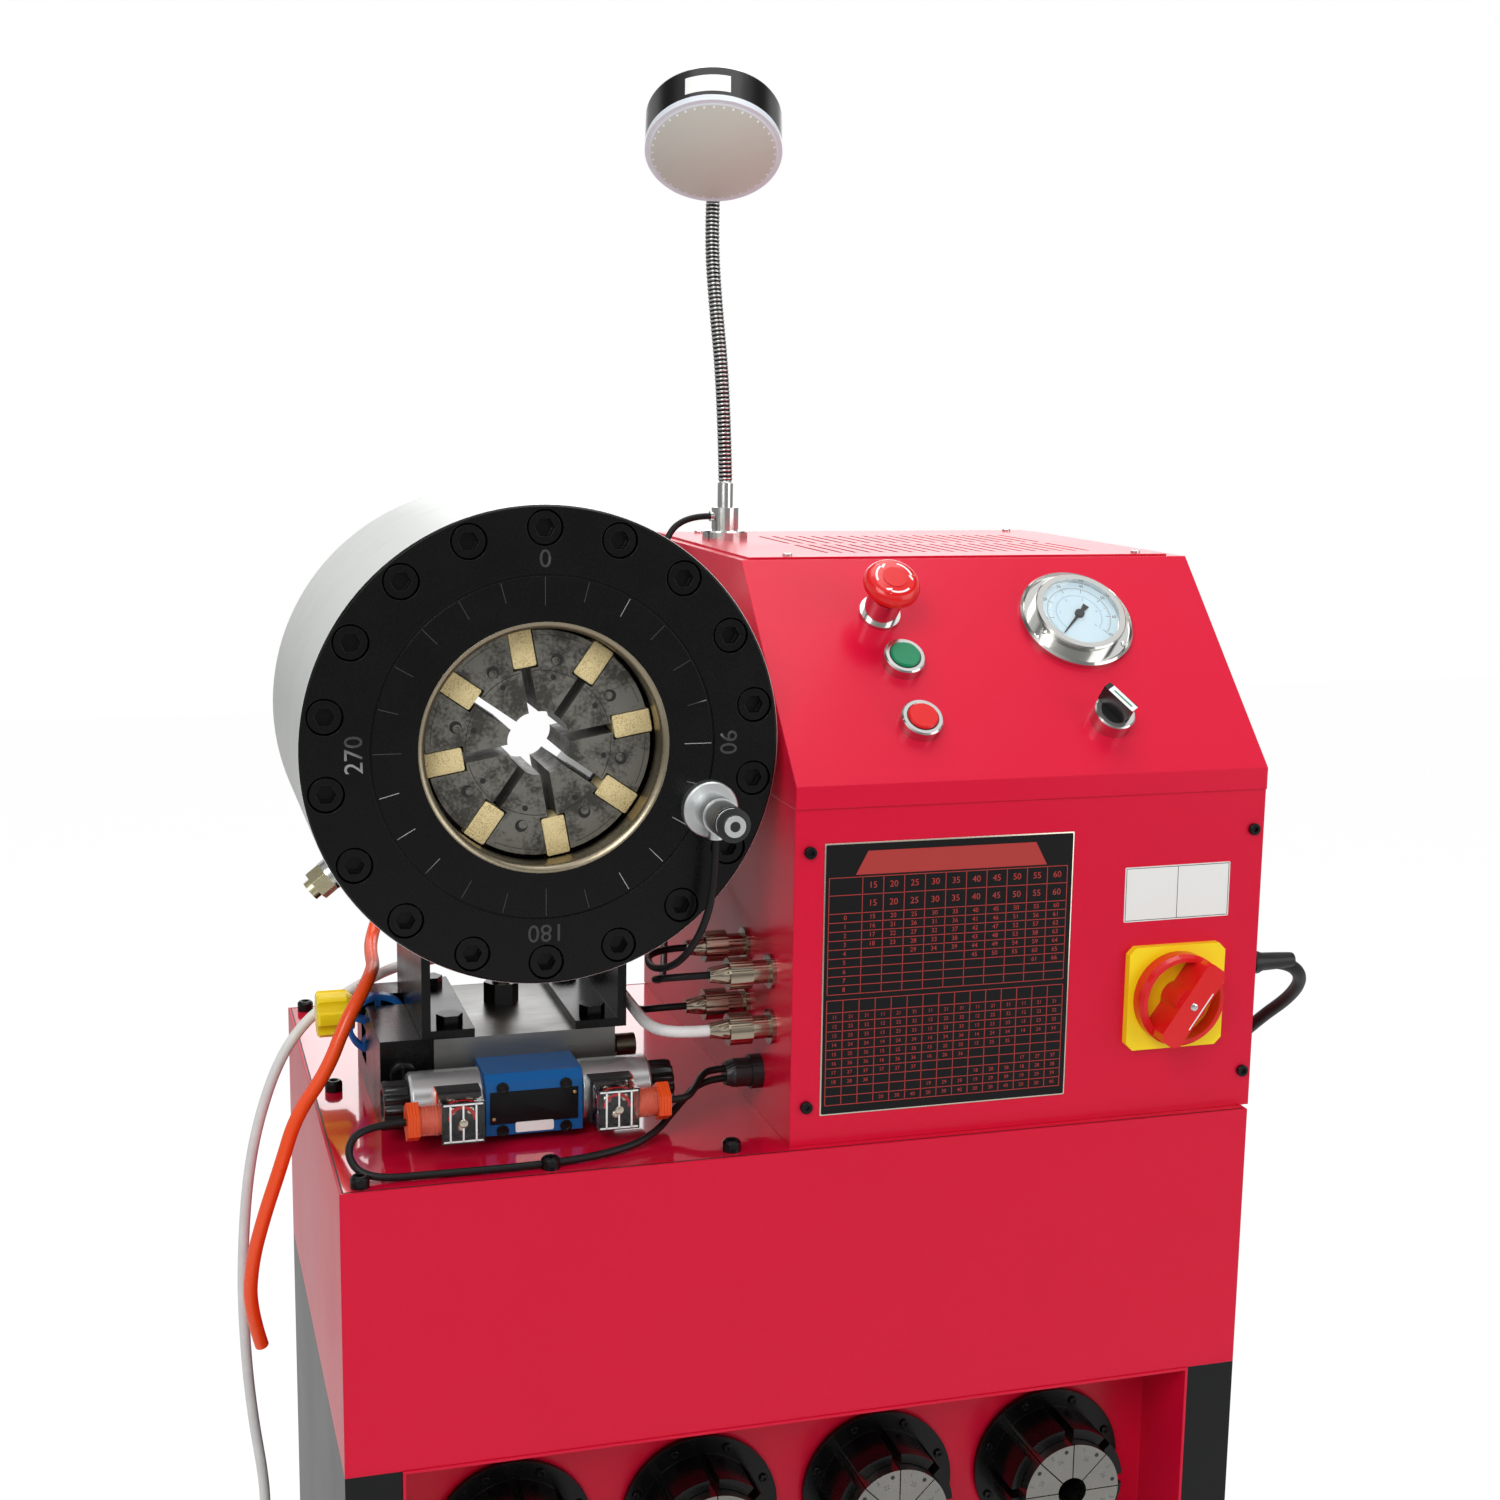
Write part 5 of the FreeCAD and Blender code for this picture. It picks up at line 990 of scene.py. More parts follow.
jaw_plane = facing_front(HEAD_X, JAW_FACE, HEAD_Z)
for index in range(JAW_COUNT):
    middle = FIRST_JAW + JAW_STEP * index
    body = f"jaw_{index + 1}_carrier"
    seam = arc_strip(SEAM_RADIUS, 0.0005, middle - SEAM_HALF, middle + SEAM_HALF)
    shoulder = arc_strip(SHOULDER_RADIUS, 0.0004, middle - SHOULDER_HALF, middle + SHOULDER_HALF)
    seams = [(*seam, jaw_plane), (*shoulder, jaw_plane)]
    joined(f"jaw_{index + 1}_seams", seams, black_ink, "black_steel", body)
    hole = on_head(PIN_RADIUS, middle, JAW_FACE)
    # The pin's hole is a dark disc of painted shade.
    turned(f"jaw_{index + 1}_pin_hole_shade", JAW_PIN_HOLE_SHADE, hole, black_ink, body, "black_steel", 20)
    socket = on_head(SCREW_RADIUS, middle, JAW_FACE)
    # The screw's recess is a dark disc of painted shade.
    turned(f"jaw_{index + 1}_recess_shade", JAW_RECESS_SHADE, socket, black_ink, body, "black_steel", 28)
    socket = socket @ Matrix.Translation((-0.0008, -0.001, 0))
    turned(f"jaw_{index + 1}_screw", JAW_SCREW, socket, dark_steel, body, "die_steel", 24)
    number = str((index + 7) % JAW_COUNT + 1)
    stamp = numeral(number, 0.0055, on_head(NUMBER_RADIUS, middle + NUMBER_TURN, JAW_FACE))
    joined(f"jaw_{index + 1}_number", [stamp], grey_ink, "black_steel", body)
print("jaw details", JAW_COUNT)

# %% [markdown]
# Soft foam blocks keep swarf out of the gaps between the jaws. Foam is a field of small open cells, so its
# finish is a cell pattern with hollows of painted shade, and its sides bulge a little between their corners.

# %% Foam finish

foam = Finish("open_cell_foam", (0.8, 0.66, 0.36), 0.95, Specular_IOR_Level=0.1)
cells = foam.node("ShaderNodeTexVoronoi", {"feature": "F1"}, {"Vector": foam.place(), "Scale": 800.0})
soot = foam.noise(120, 3)
# The cells' hollows are darkened as painted shade; the soot noise adds random dark patches.
foam.vary_colour(((0.5 - cells) * 1.5 + (soot - 0.5) * 1.2).limit(), (0.38, 0.26, 0.09))
foam.bump(cells, 0.0004, 0.8)

# %% Foam blocks

FOAM_INNER = 0.0498
FOAM_OUTER = 0.0758
FOAM_WIDTH = 0.016
FOAM_FRONT = -0.1547
FOAM_BACK = -0.1307


def foam_surface(length, width, depth, rows=9):
    """A block whose side at the share v of its height swells by sin(pi v)."""
    share = np.linspace(0, 1, rows)
    swell = 0.00035 * np.sin(math.pi * share)
    sides = [(0.0004 - bulge, 0.0006 + part * (depth - 0.0012)) for part, bulge in zip(share, swell)]
    return layered_surface(rounded_box(width, length, 0.0018), [(0.0012, 0), *sides, (0.0014, depth)])


foam_block = foam_surface(FOAM_OUTER - FOAM_INNER, FOAM_WIDTH, FOAM_BACK - FOAM_FRONT)
for index in range(JAW_COUNT):
    degrees = FIRST_JAW + JAW_STEP * (index + 0.5)
    place = on_head((FOAM_INNER + FOAM_OUTER) / 2, degrees, FOAM_BACK)
    block = mesh_piece(f"foam_{index + 1}", *foam_block, foam, MACHINE, "foam", 50, place)
    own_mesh(block)
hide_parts("foam_blocks")

# %% [markdown]
# The bore's lip is worn bright by hose fittings, and the ring around it carries a scale. Engraved lines are
# narrower than a millimetre, so they are thin raised strips in a lighter tone, which read as cut lines from
# any side.

# %% Worn lip

cap_plane = facing_front(HEAD_X, CAP_FACE, HEAD_Z)
lip_finish = ground_metal("worn_lip", (0.36, 0.31, 0.22), 0.32, 0.25, 0.0005, lines=500)
lip = [(0.0766, -0.02), (0.0771, -0.02), (0.0771, -0.0032), (0.0802, -0.0001), (0.0812, 0.0), (0.0812, 0.00025),
       (0.0799, 0.0002), (0.0768, -0.0028), (0.0766, -0.004)]
ring("worn_lip", lip, cap_plane, lip_finish, "ground_steel", 96, 50)

# %% Scale on the ring

TICKS = 24
TICK_END = 0.1095
scale_finish = Finish("scale_cut", (0.045, 0.045, 0.048), 0.3, 0.2)
# Pale patches on the scale's marks are painted highlights.
scale_highlight_patches = (scale_finish.noise(16, 1) - 0.52) * 12
scale_finish.vary_colour(scale_highlight_patches.limit(), (0.42, 0.42, 0.42))
scale_finish.set("Roughness", 0.25 + scale_finish.noise(200, 2) * 0.3)
marks = []
for index in range(TICKS):
    inner = 0.0915 if index % 6 == 0 else 0.0965
    length = TICK_END - inner
    tick = slab_surface(rectangle(0.00045, length), PRINT)
    marks.append((*tick, on_head(inner + length / 2, index * 360 / TICKS)))
for index, text in enumerate(("0", "90", "180", "270")):
    marks.append(numeral(text, 0.0165, on_head(0.1205, index * 90)))
joined("head_scale", marks, scale_finish, "black_steel")
print("scale marks", len(marks))

# %% [markdown]
# ## Console
#
# The chart plate is printed in one colour on black. Its grid and its plain numbers are thin meshes a few
# hundredths of a millimetre above the plate. The numbers follow a simple rule, and the header strip stays
# bare.

# %% Chart plate

CHART_WIDTH = 0.18
CHART_HEIGHT = 0.1875
CHART_MIDDLE = (0.09, 0.91375)
chart_black = moulded("chart_black", (0.004, 0.004, 0.005), 0.4).set("Specular IOR Level", 0.2)
chart_plane = facing_front(CHART_MIDDLE[0], PANEL_FACE, CHART_MIDDLE[1])
slab("chart_edge", rounded_box(CHART_WIDTH, CHART_HEIGHT, 0.001), 0.0006, chart_plane, nickel, bevel=0.0002)
slab("chart_plate", rounded_box(CHART_WIDTH - 0.002, CHART_HEIGHT - 0.002, 0.001), 0.0008, chart_plane,
     chart_black)
chart_top = chart_plane @ Matrix.Translation((0, 0, 0.0008))


def chart_rule(x, y, width, height):
    """One printed line or block, placed by its middle from the plate's lower left corner."""
    outline = rectangle(width, height, x - CHART_WIDTH / 2, y - CHART_HEIGHT / 2)
    return (*slab_surface(outline, PRINT), chart_top)


def chart_number(text, x, y, size):
    place = Matrix.Translation((x - CHART_WIDTH / 2, y - CHART_HEIGHT / 2, PRINT / 2))
    return numeral(text, size, chart_top @ place)


def chart_grid(columns, rows):
    """The lines of a table: its rows run down from the first to the last."""
    level = [chart_rule((columns[0] + columns[-1]) / 2, y, columns[-1] - columns[0], LINE) for y in rows]
    return level + [chart_rule(x, (rows[0] + rows[-1]) / 2, LINE, rows[0] - rows[-1]) for x in columns]


LINE = 0.0005
TABLE_LEFT = 0.0035
TABLE_RIGHT = 0.1755
chart_red = moulded("chart_red", (0.42, 0.035, 0.03), 0.45)
header = np.array([(0.022, 0.1655), (0.16, 0.1655), (0.1515, 0.1815), (0.0305, 0.1815)])
header -= (CHART_WIDTH / 2, CHART_HEIGHT / 2)
prints = [(*slab_surface(header, PRINT), chart_top)]
columns = np.concatenate([[TABLE_LEFT, 0.027], np.linspace(0.027, TABLE_RIGHT, 11)[1:]])
rows = np.concatenate([[0.164, 0.152, 0.1395], np.linspace(0.1395, 0.084, 10)[1:]])
prints += chart_grid(columns, rows)
for column in range(1, len(columns) - 1):
    middle = (columns[column] + columns[column + 1]) / 2
    for row in range(len(rows) - 1):
        size = 0.0062 if row < 2 else 0.0044
        value = 10 + 5 * column + (0 if row < 2 else row - 2)
        if row < 2 or row < 6 + column // 3:
            prints.append(chart_number(str(value), middle, (rows[row] + rows[row + 1]) / 2, size))
for row in range(2, len(rows) - 1):
    prints.append(chart_number(str(row - 2), 0.0152, (rows[row] + rows[row + 1]) / 2, 0.0044))
lower_columns = np.linspace(TABLE_LEFT, TABLE_RIGHT, 16)
lower_rows = np.concatenate([[0.08, 0.0715], np.linspace(0.0715, 0.007, 11)[1:]])
prints += chart_grid(lower_columns, lower_rows)
for column in range(15):
    middle = (lower_columns[column] + lower_columns[column + 1]) / 2
    for row in range(1, 11):
        if (row + column // 3) % 11 < 9:
            value = str((column % 3 + 1) * 10 + row)
            prints.append(chart_number(value, middle, (lower_rows[row] + lower_rows[row + 1]) / 2, 0.0036))
joined("chart_print", prints, chart_red)
print("chart marks", len(prints))

# %% Bare label

label_plane = facing_front(0.2605, PANEL_FACE, 0.9605, math.radians(0.4))
slab("bare_label", rounded_box(0.081, 0.039, 0.001), 0.0003, label_plane, bare_label)
frame_bars = [rectangle(0.0795, LINE, 0, up) for up in (0.0185, -0.0185)]
frame_bars += [rectangle(LINE, 0.037, across) for across in (-0.0395, 0.0395, 0)]
joined("label_border", [(*slab_surface(bar, PRINT, 0, 0.0003), label_plane) for bar in frame_bars], grey_ink)

# %% [markdown]
# ## Screws
#
# Socket screws hold the panels. A socket screw is a turned head with a six-sided hole, and the hole can be
# part of the same grid, because its six flats are only a change of radius with the angle.

# %% Socket screws


def socket_screw(radius, height, socket, steps=36):
    """A turned head whose hole has the radius of a hexagon: its apothem / cos(angle within the flat)."""
    within = (full_turn(steps) + math.pi / 6) % (math.pi / 3) - math.pi / 6
    flats = socket / np.cos(within)
    rim = height * 0.2
    round_part = np.ones(steps)
    radii = np.array([radius * round_part, radius * round_part, (radius - rim) * round_part, flats, flats])
    return turned_points(radii, (0, height - rim, height, height, height * 0.35), steps), closed_faces(5, steps)


panel_corners = [(-0.01, 1.002), (0.318, 1.0026), (-0.0095, 0.827), (0.319, 0.826)]
copies("panel_screws", socket_screw(0.0042, 0.0028, 0.0019),
       [facing_front(x, PANEL_FACE, z) for x, z in panel_corners], black_steel, "black_steel")
plate_corners = [(-0.306, -0.197), (-0.183, -0.195), (-0.06, -0.194), (-0.304, -0.007), (-0.307, 0.197)]
copies("plate_screws", socket_screw(0.0062, 0.0078, 0.0028),
       [facing_up(x, y, TABLE_TOP) for x, y in plate_corners], black_steel, "black_steel")
lid_corners = [(0.018, -0.05), (0.292, -0.05), (0.018, 0.19), (0.292, 0.19)]
copies("lid_screws", socket_screw(0.0035, 0.002, 0.0015),
       [facing_up(x, y, LID_TOP) for x, y in lid_corners], chrome, "chrome")

# %% [markdown]
# ## Gauge
#
# The gauge's dial is printed with two scales and sits in liquid behind a glass. The glass is a thin clear
# cap, and the dial's marks lie a little above the case's floor.

# %% Dial

GAUGE = (0.2385, 0.132)
DIAL_OUT = 0.0082
DIAL_START = -135
DIAL_SWEEP = 270
dial_blue = moulded("dial_blue", (0.08, 0.3, 0.5), 0.4)


def on_dial(radius, degrees, out=DIAL_OUT):
    """A place on the dial, clockwise from its top, whose up points away from the middle."""
    turn = math.radians(degrees)
    place = Matrix.Translation((radius * math.sin(turn), radius * math.cos(turn), 0))
    return on_slope(*GAUGE, out) @ place @ Matrix.Rotation(-turn, 4, "Z")


def dial_scale(count, radius, side, lengths, widths, numbers, line):
    """A ring of marks on one side of a line; lengths and widths are those of tens, fives and ones."""
    number_radius, number_size, divisor = numbers
    parts = []
    for index in range(count + 1):
        degrees = DIAL_START + DIAL_SWEEP * index / count
        rank = 0 if index % 10 == 0 else 1 if index % 5 == 0 else 2
        mark = slab_surface(rectangle(widths[rank], lengths[rank]), PRINT)
        parts.append((*mark, on_dial(radius + side * lengths[rank] / 2, degrees)))
        if rank == 0:
            upright = on_dial(number_radius, degrees) @ Matrix.Rotation(math.radians(degrees), 4, "Z")
            parts.append(numeral(str(index // divisor), number_size, upright))
    arc = arc_strip(radius, line, DIAL_START, DIAL_START + DIAL_SWEEP, PRINT, 72)
    return [*parts, (*arc, on_slope(*GAUGE, DIAL_OUT))]


slab("dial_face", circle(0.0288, 64), 0.0002, on_slope(*GAUGE, DIAL_OUT - 0.0002), dial_paper)
dial_marks = dial_scale(70, 0.0235, -1, (0.0034, 0.0024, 0.0014), (0.0004, 0.00018, 0.00018),
                        (0.0262, 0.0034, 1), 0.00022)
inner_marks = dial_scale(50, 0.0168, 1, (0.0022, 0.0011, 0.0011), (0.0002, 0.0002, 0.0002),
                         (0.0142, 0.0028, 10), 0.0002)
joined("dial_marks", dial_marks, black_ink)
joined("dial_inner_marks", inner_marks, dial_blue)

# %% Glass and flange screws

glass = Finish("gauge_glass", (1, 1, 1), 0.02, 0, Transmission_Weight=1.0, IOR=1.33)
glass.set("Roughness", glass.noise(40, 2) * 0.03)
turned("gauge_glass", [(0.0295, 0), (0.0295, 0.0006), (0.029, 0.0008), (0.015, 0.0009), (0.0002, 0.0009)],
       on_slope(*GAUGE, 0.0122), glass, steps=64)


def pan_screw(radius, height):
    shares = np.array([(1, 0), (1, 0.35), (0.86, 0.8), (0.5, 1), (0.05, 1)])
    return turned_surface(shares * (radius, height), 28)


flange_holes = [on_dial(0.0382, degrees, 0.0022) for degrees in (8, 128, 248)]
copies("gauge_screws", pan_screw(0.0027, 0.0016), flange_holes, chrome, "chrome")

# %% [markdown]
# ## Marks on curved surfaces
#
# The arrows on the stop button lie on its dome. A ray that is sent down on the solid finds the height at each
# point, so the marks follow the surface exactly.

# %% Height of a solid under a plane


def skin_tree(node):
    """A search tree of a node's triangles."""
    mesh = NODES[node].data
    faces = [tuple(face.vertices) for face in mesh.polygons]
    return BVHTree.FromPolygons([vertex.co for vertex in mesh.vertices], faces)


def settle(points, matrix, tree, lift=0.00005, reach=0.1):
    """Move each point of a flat piece out or in along its plane's normal until it lies on the solid."""
    out = matrix.to_3x3().col[2].normalized()
    settled = []
    for point in np.asarray(points):
        flat = matrix @ Vector((point[0], point[1], 0))
        ground = tree.ray_cast(flat + out * reach, -out)[0] or flat
        settled.append(ground + out * (lift + point[2]))
    return np.array(settled)


def laid_on(surface, matrix, tree, lift=0.00005):
    """A flat surface laid on a solid and ready to be joined."""
    points, faces = surface
    return settle(points, matrix, tree, lift), faces, Matrix.Identity(4)


STOP = (0.091, 0.142)
MARK_THICKNESS = 0.00008
stop_plane = on_slope(*STOP, 0.03)
stop_tree = skin_tree("estop_mushroom")
arrow_parts = []
for start in (20, 140, 260):
    shaft = arc_strip(0.0128, 0.0014, start, start + 62, MARK_THICKNESS, 16)
    corners = []
    for radius, degrees in ((0.0128, 84), (0.0153, 62), (0.0103, 62)):
        turn = math.radians(start + degrees)
        corners.append((radius * math.sin(turn), radius * math.cos(turn)))
    for surface in (shaft, slab_surface(corners, MARK_THICKNESS)):
        arrow_parts.append(laid_on(surface, stop_plane, stop_tree))
joined("stop_arrows", arrow_parts, white_ink, "red_plastic", "estop")

# %% Knob groove and screw

isolator_tree = skin_tree("isolator_knob")
knob_plane = facing_front(0.2603, PANEL_FACE - 0.04, 0.8865, math.radians(-35))
groove = slab_surface(rectangle(0.0009, 0.03, 0.0068), MARK_THICKNESS)
joined("knob_groove", [laid_on(groove, knob_plane, isolator_tree)], white_ink, "red_plastic", "isolator")
knob_top = settle([[0, 0, 0]], knob_plane, isolator_tree)[0]
copies("knob_screw", pan_screw(0.0028, 0.0012), [facing_front(*knob_top)], chrome, "chrome", "isolator")

# %% [markdown]
# ## Valve
#
# The coils' ends carry ribbed plastic nuts that a hand can turn. A rib pattern is a circle whose radius
# swings with a cosine of the angle. The valve's label plate stays bare, with its four socket screws and two
# small rivets.

# %% Ribbed coil nuts


def ribbed_surface(radius, depth, ribs, profile, steps=96):
    """A turned profile (share of radius, height); its full radius swings by 1 + depth cos(ribs x angle)."""
    share, height = np.asarray(profile, float).T
    swing = np.clip((share - 0.8) / 0.2, 0, 1)[:, None]
    wave = 1 + depth * swing * np.cos(ribs * full_turn(steps))
    return turned_points(radius * share[:, None] * wave, height, steps), closed_faces(len(profile), steps)


COIL_AXIS = (-0.124, 0.82725)
nut_profile = [(0.9, 0), (0.985, 0.0008), (0.985, 0.0155), (0.93, 0.017), (0.7, 0.017), (0.62, 0.0155),
               (0.1, 0.0155)]
nut_black = moulded("nut_black", (0.006, 0.006, 0.006), 0.22)
nut_places = [facing_left(-0.266, *COIL_AXIS), facing_right(-0.102, *COIL_AXIS)]
nut_surface = ribbed_surface(0.0151, 0.085, 12, nut_profile)
nuts = copies("ribbed_nuts", nut_surface, nut_places, nut_black, "black_plastic", sharp=40)
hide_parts("coil_nuts")

# %% Valve plate, screws and coil rims

VALVE_X = -0.184
VALVE_FRONT = -0.145
PLATE_FRONT = VALVE_FRONT - 0.0004
slab("valve_plate", rounded_box(0.06, 0.0225, 0.0008), 0.0004, facing_front(VALVE_X, VALVE_FRONT, 0.8255),
     chart_black, bevel=0.0001)
slab("valve_patch", rounded_box(0.026, 0.007, 0.0012), 0.0005, facing_front(VALVE_X, PLATE_FRONT, 0.8115),
     bare_label)
valve_corners = [facing_front(VALVE_X + across, VALVE_FRONT, 0.8245 + up)
                 for up in (0.01485, -0.01485) for across in (-0.0215, 0.0215)]
copies("valve_screws", socket_screw(0.0041, 0.0012, 0.0023), valve_corners, black_steel, "black_steel")
rivet_places = [facing_front(VALVE_X + sign * 0.0275, PLATE_FRONT, 0.8255 + sign * 0.0075) for sign in (-1, 1)]
copies("valve_rivets", pan_screw(0.0013, 0.0006), rivet_places, brass, "ground_steel")

# %% Inside the clear plugs

PLUG_CENTRES = (-0.236, -0.132)
terminal = turned_surface([(0.0026, 0), (0.0026, 0.006), (0.0019, 0.0066), (0.0002, 0.0066)], 20)
terminal_parts = []
for centre in PLUG_CENTRES:
    for across, up in ((-0.006, 0.005), (0.006, 0.005), (0, -0.006)):
        terminal_parts.append((*terminal, facing_front(centre + across, -0.153, COIL_AXIS[1] + up)))
    terminal_parts.append((*pan_screw(0.003, 0.0012), facing_front(centre, -0.1729, COIL_AXIS[1])))
joined("plug_terminals", terminal_parts, nickel, "chrome")

# %% Port on the front of the relief block

port_profile = [(0.0088, -0.0008), (0.0088, 0.0004), (0.0074, 0.0012), (0.0045, 0.0012), (0.0042, 0.0002),
                (0.0002, 0.0002)]
port_place = facing_front(-0.266, -0.1025, 0.84)
copies("relief_port", turned_surface(port_profile, 40), [port_place], black_steel, "black_steel")

# %% [markdown]
# ## Lamp
#
# The lamp's drum is black with a small bare sticker that follows its curve: one thin section, repeated round
# the drum's axis.

# %% Sticker on the drum

LAMP_RADIUS = 0.052
toward = lamp_plane.inverted().to_3x3() @ Vector((-0.36, -1, 0))
sticker_angle = math.atan2(toward.y, toward.x)
half_angle = 0.0172 / LAMP_RADIUS
around = np.linspace(sticker_angle - half_angle, sticker_angle + half_angle, 15)
rise = np.linspace(-0.0255, -0.009, 4)
section = [(LAMP_RADIUS + 0.00005, height) for height in rise]
section += [(LAMP_RADIUS + 0.0003, height) for height in rise[::-1]]
sheet = [(radius * math.cos(turn), radius * math.sin(turn), height)
         for turn in around for radius, height in section]
sheet_faces = closed_faces(len(around), len(section))
mesh_piece("lamp_sticker", sheet, sheet_faces, bare_label, "lamp", "pale_paint", 50, lamp_plane)

# %% [markdown]
# ## Spare dies
#
# Every stand in the tray carries a set of eight die segments. Each segment has a pin hole and a number, and
# socket screws hold the set to its stand. Each pin hole is a dark disc of painted shade.

# %% Die numbers, painted shade of the pin holes, and stand screws

STAND_PLACES = [(x, z) for z in (0.5154, 0.3814) for x in (-0.201, -0.067, 0.067, 0.201)]
STAND_FACE = -0.151
DIE_FACE = -0.196
SEGMENTS = [(x, z, degrees) for x, z in STAND_PLACES for degrees in np.arange(22.5, 360, 45)]
STAMP_SIZE = 0.0048
pin_places = [on_disc(x, z, 0.0322, degrees + 12, DIE_FACE) for x, z, degrees in SEGMENTS]
screw_places = [on_disc(x, z, 0.0505, degrees, STAND_FACE) for x, z, degrees in SEGMENTS]
die_stamps = []
for index, (x, z, degrees) in enumerate(SEGMENTS):
    stand, segment = divmod(index, 8)
    die_stamps.append(numeral(str(segment + 1), STAMP_SIZE, on_disc(x, z, 0.0325, degrees - 8, DIE_FACE)))
    die_stamps.append(numeral(str(14 + 4 * stand), STAMP_SIZE, on_disc(x, z, 0.0262, degrees, DIE_FACE)))
# Dark discs of painted shade stand in the pin holes.
copies("die_pin_hole_shade", slab_surface(circle(0.0016, 12), 0.00005), pin_places, black_ink, "die_steel")
joined("die_stamps", die_stamps, grey_ink, "die_steel")
copies("stand_screws", socket_screw(0.0032, 0.0022, 0.0015, 18), screw_places, black_steel, "black_steel")
print("stands", len(STAND_PLACES), "stamps", len(die_stamps))

# %% [markdown]
# ## Small dark and pale lines
#
# Rings, ribs and gaps are what makes a small part readable from a distance. The dark gaps are painted shade,
# and the plugs' pale ribs carry a painted highlight. Each lies a few hundredths of a millimetre above its
# solid.

# %% Thimble rings

band = turned_surface([(0.0108, -0.0003), (0.01108, -0.0002), (0.01108, 0.0002), (0.0108, 0.0003)])
band_places = [facing_front(THIMBLE_AXIS[0], THIMBLE_END + depth, THIMBLE_AXIS[1])
               for depth in (0.0035, 0.0095, 0.0125, 0.0155)]
copies("thimble_rings", band, band_places, black_ink, "pale_paint", "thimble")

# %% Selector face and stripe

selector_tree = skin_tree("selector_lever")
stripe_plane = on_slope(0.2385, 0.0443, 0.0263, math.radians(32))
for name, width, length, lift, ink in (("selector_face", 0.0062, 0.0225, 0.00005, white_ink),
                                       ("selector_stripe", 0.0011, 0.0165, 0.00015, green_plastic)):
    stripe = slab_surface(rectangle(width, length), MARK_THICKNESS)
    joined(name, [laid_on(stripe, stripe_plane, selector_tree, lift)], ink, "black_plastic", "selector")

# %% Ribs with a painted highlight, and wires, of the clear plugs

PLUG_FRONT = -0.1719
plug_tree = skin_tree("din_plugs")
upright_rib = slab_surface(rounded_box(0.0012, 0.026, 0.0005), 0.0004, 0.0001)
level_rib = slab_surface(rounded_box(0.026, 0.0011, 0.0005), 0.0004, 0.0001)
bend = np.linspace(0, math.pi, 14)
highlight_rib_parts = []
wire_parts = []
for centre, side in zip(PLUG_CENTRES, (-1, 1)):
    ribs = [(upright_rib, shift, 0) for shift in (-0.0085, 0, 0.0085)]
    ribs += [(level_rib, 0, rise) for rise in (-0.0125, 0.0125)]
    for rib, shift, rise in ribs:
        highlight_rib_parts.append(laid_on(rib, facing_front(centre + shift, PLUG_FRONT, COIL_AXIS[1] + rise), plug_tree))
    wire_line = np.stack([centre + side * 0.0085 * np.cos(bend), np.full(14, -0.163),
                          COIL_AXIS[1] + 0.0085 * np.sin(bend)], -1)
    wire_parts.append((*tube_along(wire_line, np.full(14, 0.0011), 10), Matrix.Identity(4)))
# The ribs' near-white colour is a painted highlight of the clear housing's lit edges.
plug_highlight = Finish("painted_plug_highlight", (0.86, 0.87, 0.86), 0.1)
plug_highlight.set("Roughness", 0.08 + plug_highlight.noise(120, 2) * 0.1)
joined("plug_highlight_ribs", highlight_rib_parts, plug_highlight, "clear_plastic")
joined("plug_wires", wire_parts, red_plastic, "orange_rubber")

# %% Light ring of the lamp

lamp_tree = skin_tree("lamp_head")
dot = slab_surface(circle(0.0009, 10), MARK_THICKNESS)
dot_middles = [(x, y, 0.02) for x, y in circle(0.0462, 40)]
dot_parts = [laid_on(dot, lamp_plane @ Matrix.Translation(middle), lamp_tree) for middle in dot_middles]
joined("lamp_dots", dot_parts, white_ink, "pale_paint", "lamp")

# %% Painted shade in the gap round the table's plate

PLATE_X = 0.3178
PLATE_Y = 0.2048
GAP = 0.0011
back_middle = (CONSOLE_LEFT - PLATE_X) / 2
gap_shade_bars = [(-PLATE_X, 0, GAP, 2 * PLATE_Y), (0, -PLATE_Y, 2 * PLATE_X, GAP),
            (back_middle, PLATE_Y, CONSOLE_LEFT + PLATE_X, GAP)]
# The gap is a black strip of painted shade.
joined("plate_gap_shade", [(*slab_surface(rectangle(width, depth), 0.00006, 0, 0.00002), facing_up(x, y, TABLE_TOP))
                     for x, y, width, depth in gap_shade_bars], black_ink, "black_steel")

# %% Painted shade in the gaps round the push buttons

button_gap = turned_surface([(0.01065, 0.0086), (0.01065, 0.00905), (0.0114, 0.00905), (0.0114, 0.0086)])
button_places = [on_slope(0.0975, up) for up in (0.047, 0.099)]
# The dark ring is painted shade in the gap round each button.
copies("button_gap_shade", button_gap, button_places, black_ink, "black_plastic")
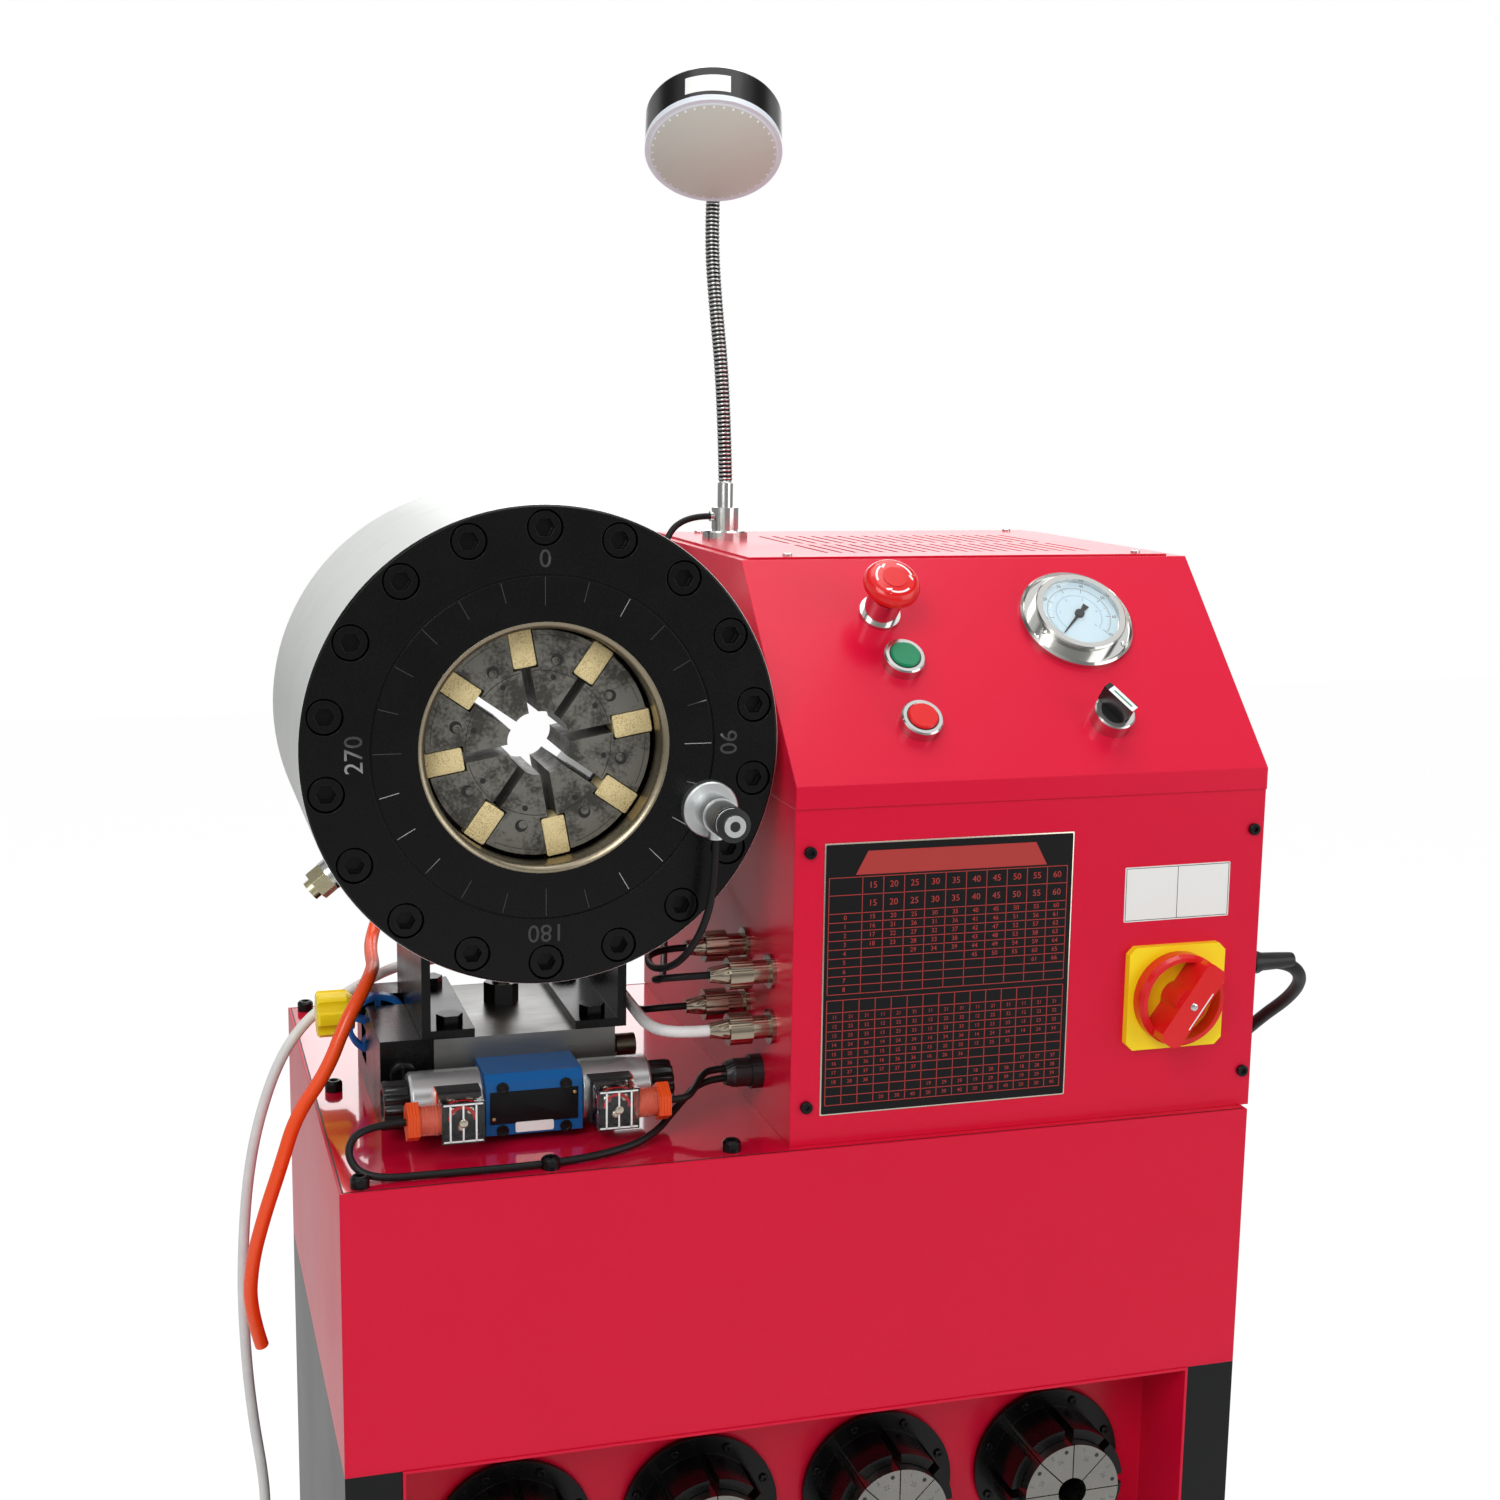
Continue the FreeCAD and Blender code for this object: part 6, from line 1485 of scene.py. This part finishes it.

# %% [markdown]
# ## Floor and light
#
# A product picture needs an even light and a white ground. The floor is white to the camera and to
# rays through glass, and a plain pale surface to everything else, so it still takes the machine's shadow.

# %% Floor

WHITE = (1, 1, 1, 1)
floor_points, floor_faces = slab_surface(rectangle(14, 14), 0.01, 0, -0.0105)
floor_finish = Finish("studio_floor", (0.8, 0.8, 0.8), 0.7, Specular_IOR_Level=0.1)
direct = (floor_finish.rays("Camera") + floor_finish.rays("Transmission")).limit()
glow = floor_finish.node("ShaderNodeEmission", None, {"Color": WHITE, "Strength": 1.1})
floor_finish.mix_with(glow, direct * 0.85)
floor = mesh_piece("studio_floor", floor_points, floor_faces, floor_finish)

# %% White surroundings

world = bpy.data.worlds.new("studio")
bpy.context.scene.world = world
sky = Tree(world)
compass = sky.node("ShaderNodeTexCoord", output="Generated")
height_of_sky = sky.node("ShaderNodeSeparateXYZ", None, {0: compass}, "Z")
dark_band = ((height_of_sky - 0.6) * (height_of_sky - 0.6) * 30).limit(0.12, 1.0)
overhead = (height_of_sky * 1.6 + 0.4).limit(0.12, 1.0) * dark_band
shown = (sky.rays("Camera") + sky.rays("Transmission")).limit()
mirrored = sky.rays("Glossy")
strength = shown + (1 - shown) * (mirrored * overhead * 0.95 + (1 - mirrored) * 0.42)
background = sky.node("ShaderNodeBackground", None, {"Color": WHITE, "Strength": strength})
world_output = sky.tree.nodes.new("ShaderNodeOutputWorld")
sky.plug(world_output.inputs[0], background)

# %% Lamps


def lamp(name, place, target, size, power):
    """A square soft light that looks at a point."""
    data = bpy.data.lights.new(name, "AREA")
    data.shape = "SQUARE"
    data.size = size
    data.energy = power
    way = Vector(target) - Vector(place)
    turn = way.to_track_quat("-Z", "Y").to_matrix().to_4x4()
    linked(name, data).matrix_world = Matrix.Translation(place) @ turn


lamp("key_light", (-1.6, -2.4, 2.9), (0, 0, 0.95), 1.6, 46)
lamp("fill_light", (2.4, -2.2, 1.6), (0, 0, 0.9), 2.2, 26)
lamp("top_light", (0.2, 0.4, 3.2), (0, 0, 1.0), 1.8, 30)
lamp("back_light", (0.8, 2.6, 2.2), (0, 0, 1.0), 2.0, 18)

# %% Picture settings

bpy.context.scene.view_settings.view_transform = "Standard"

# %% The end

bpy.context.view_layer.update()
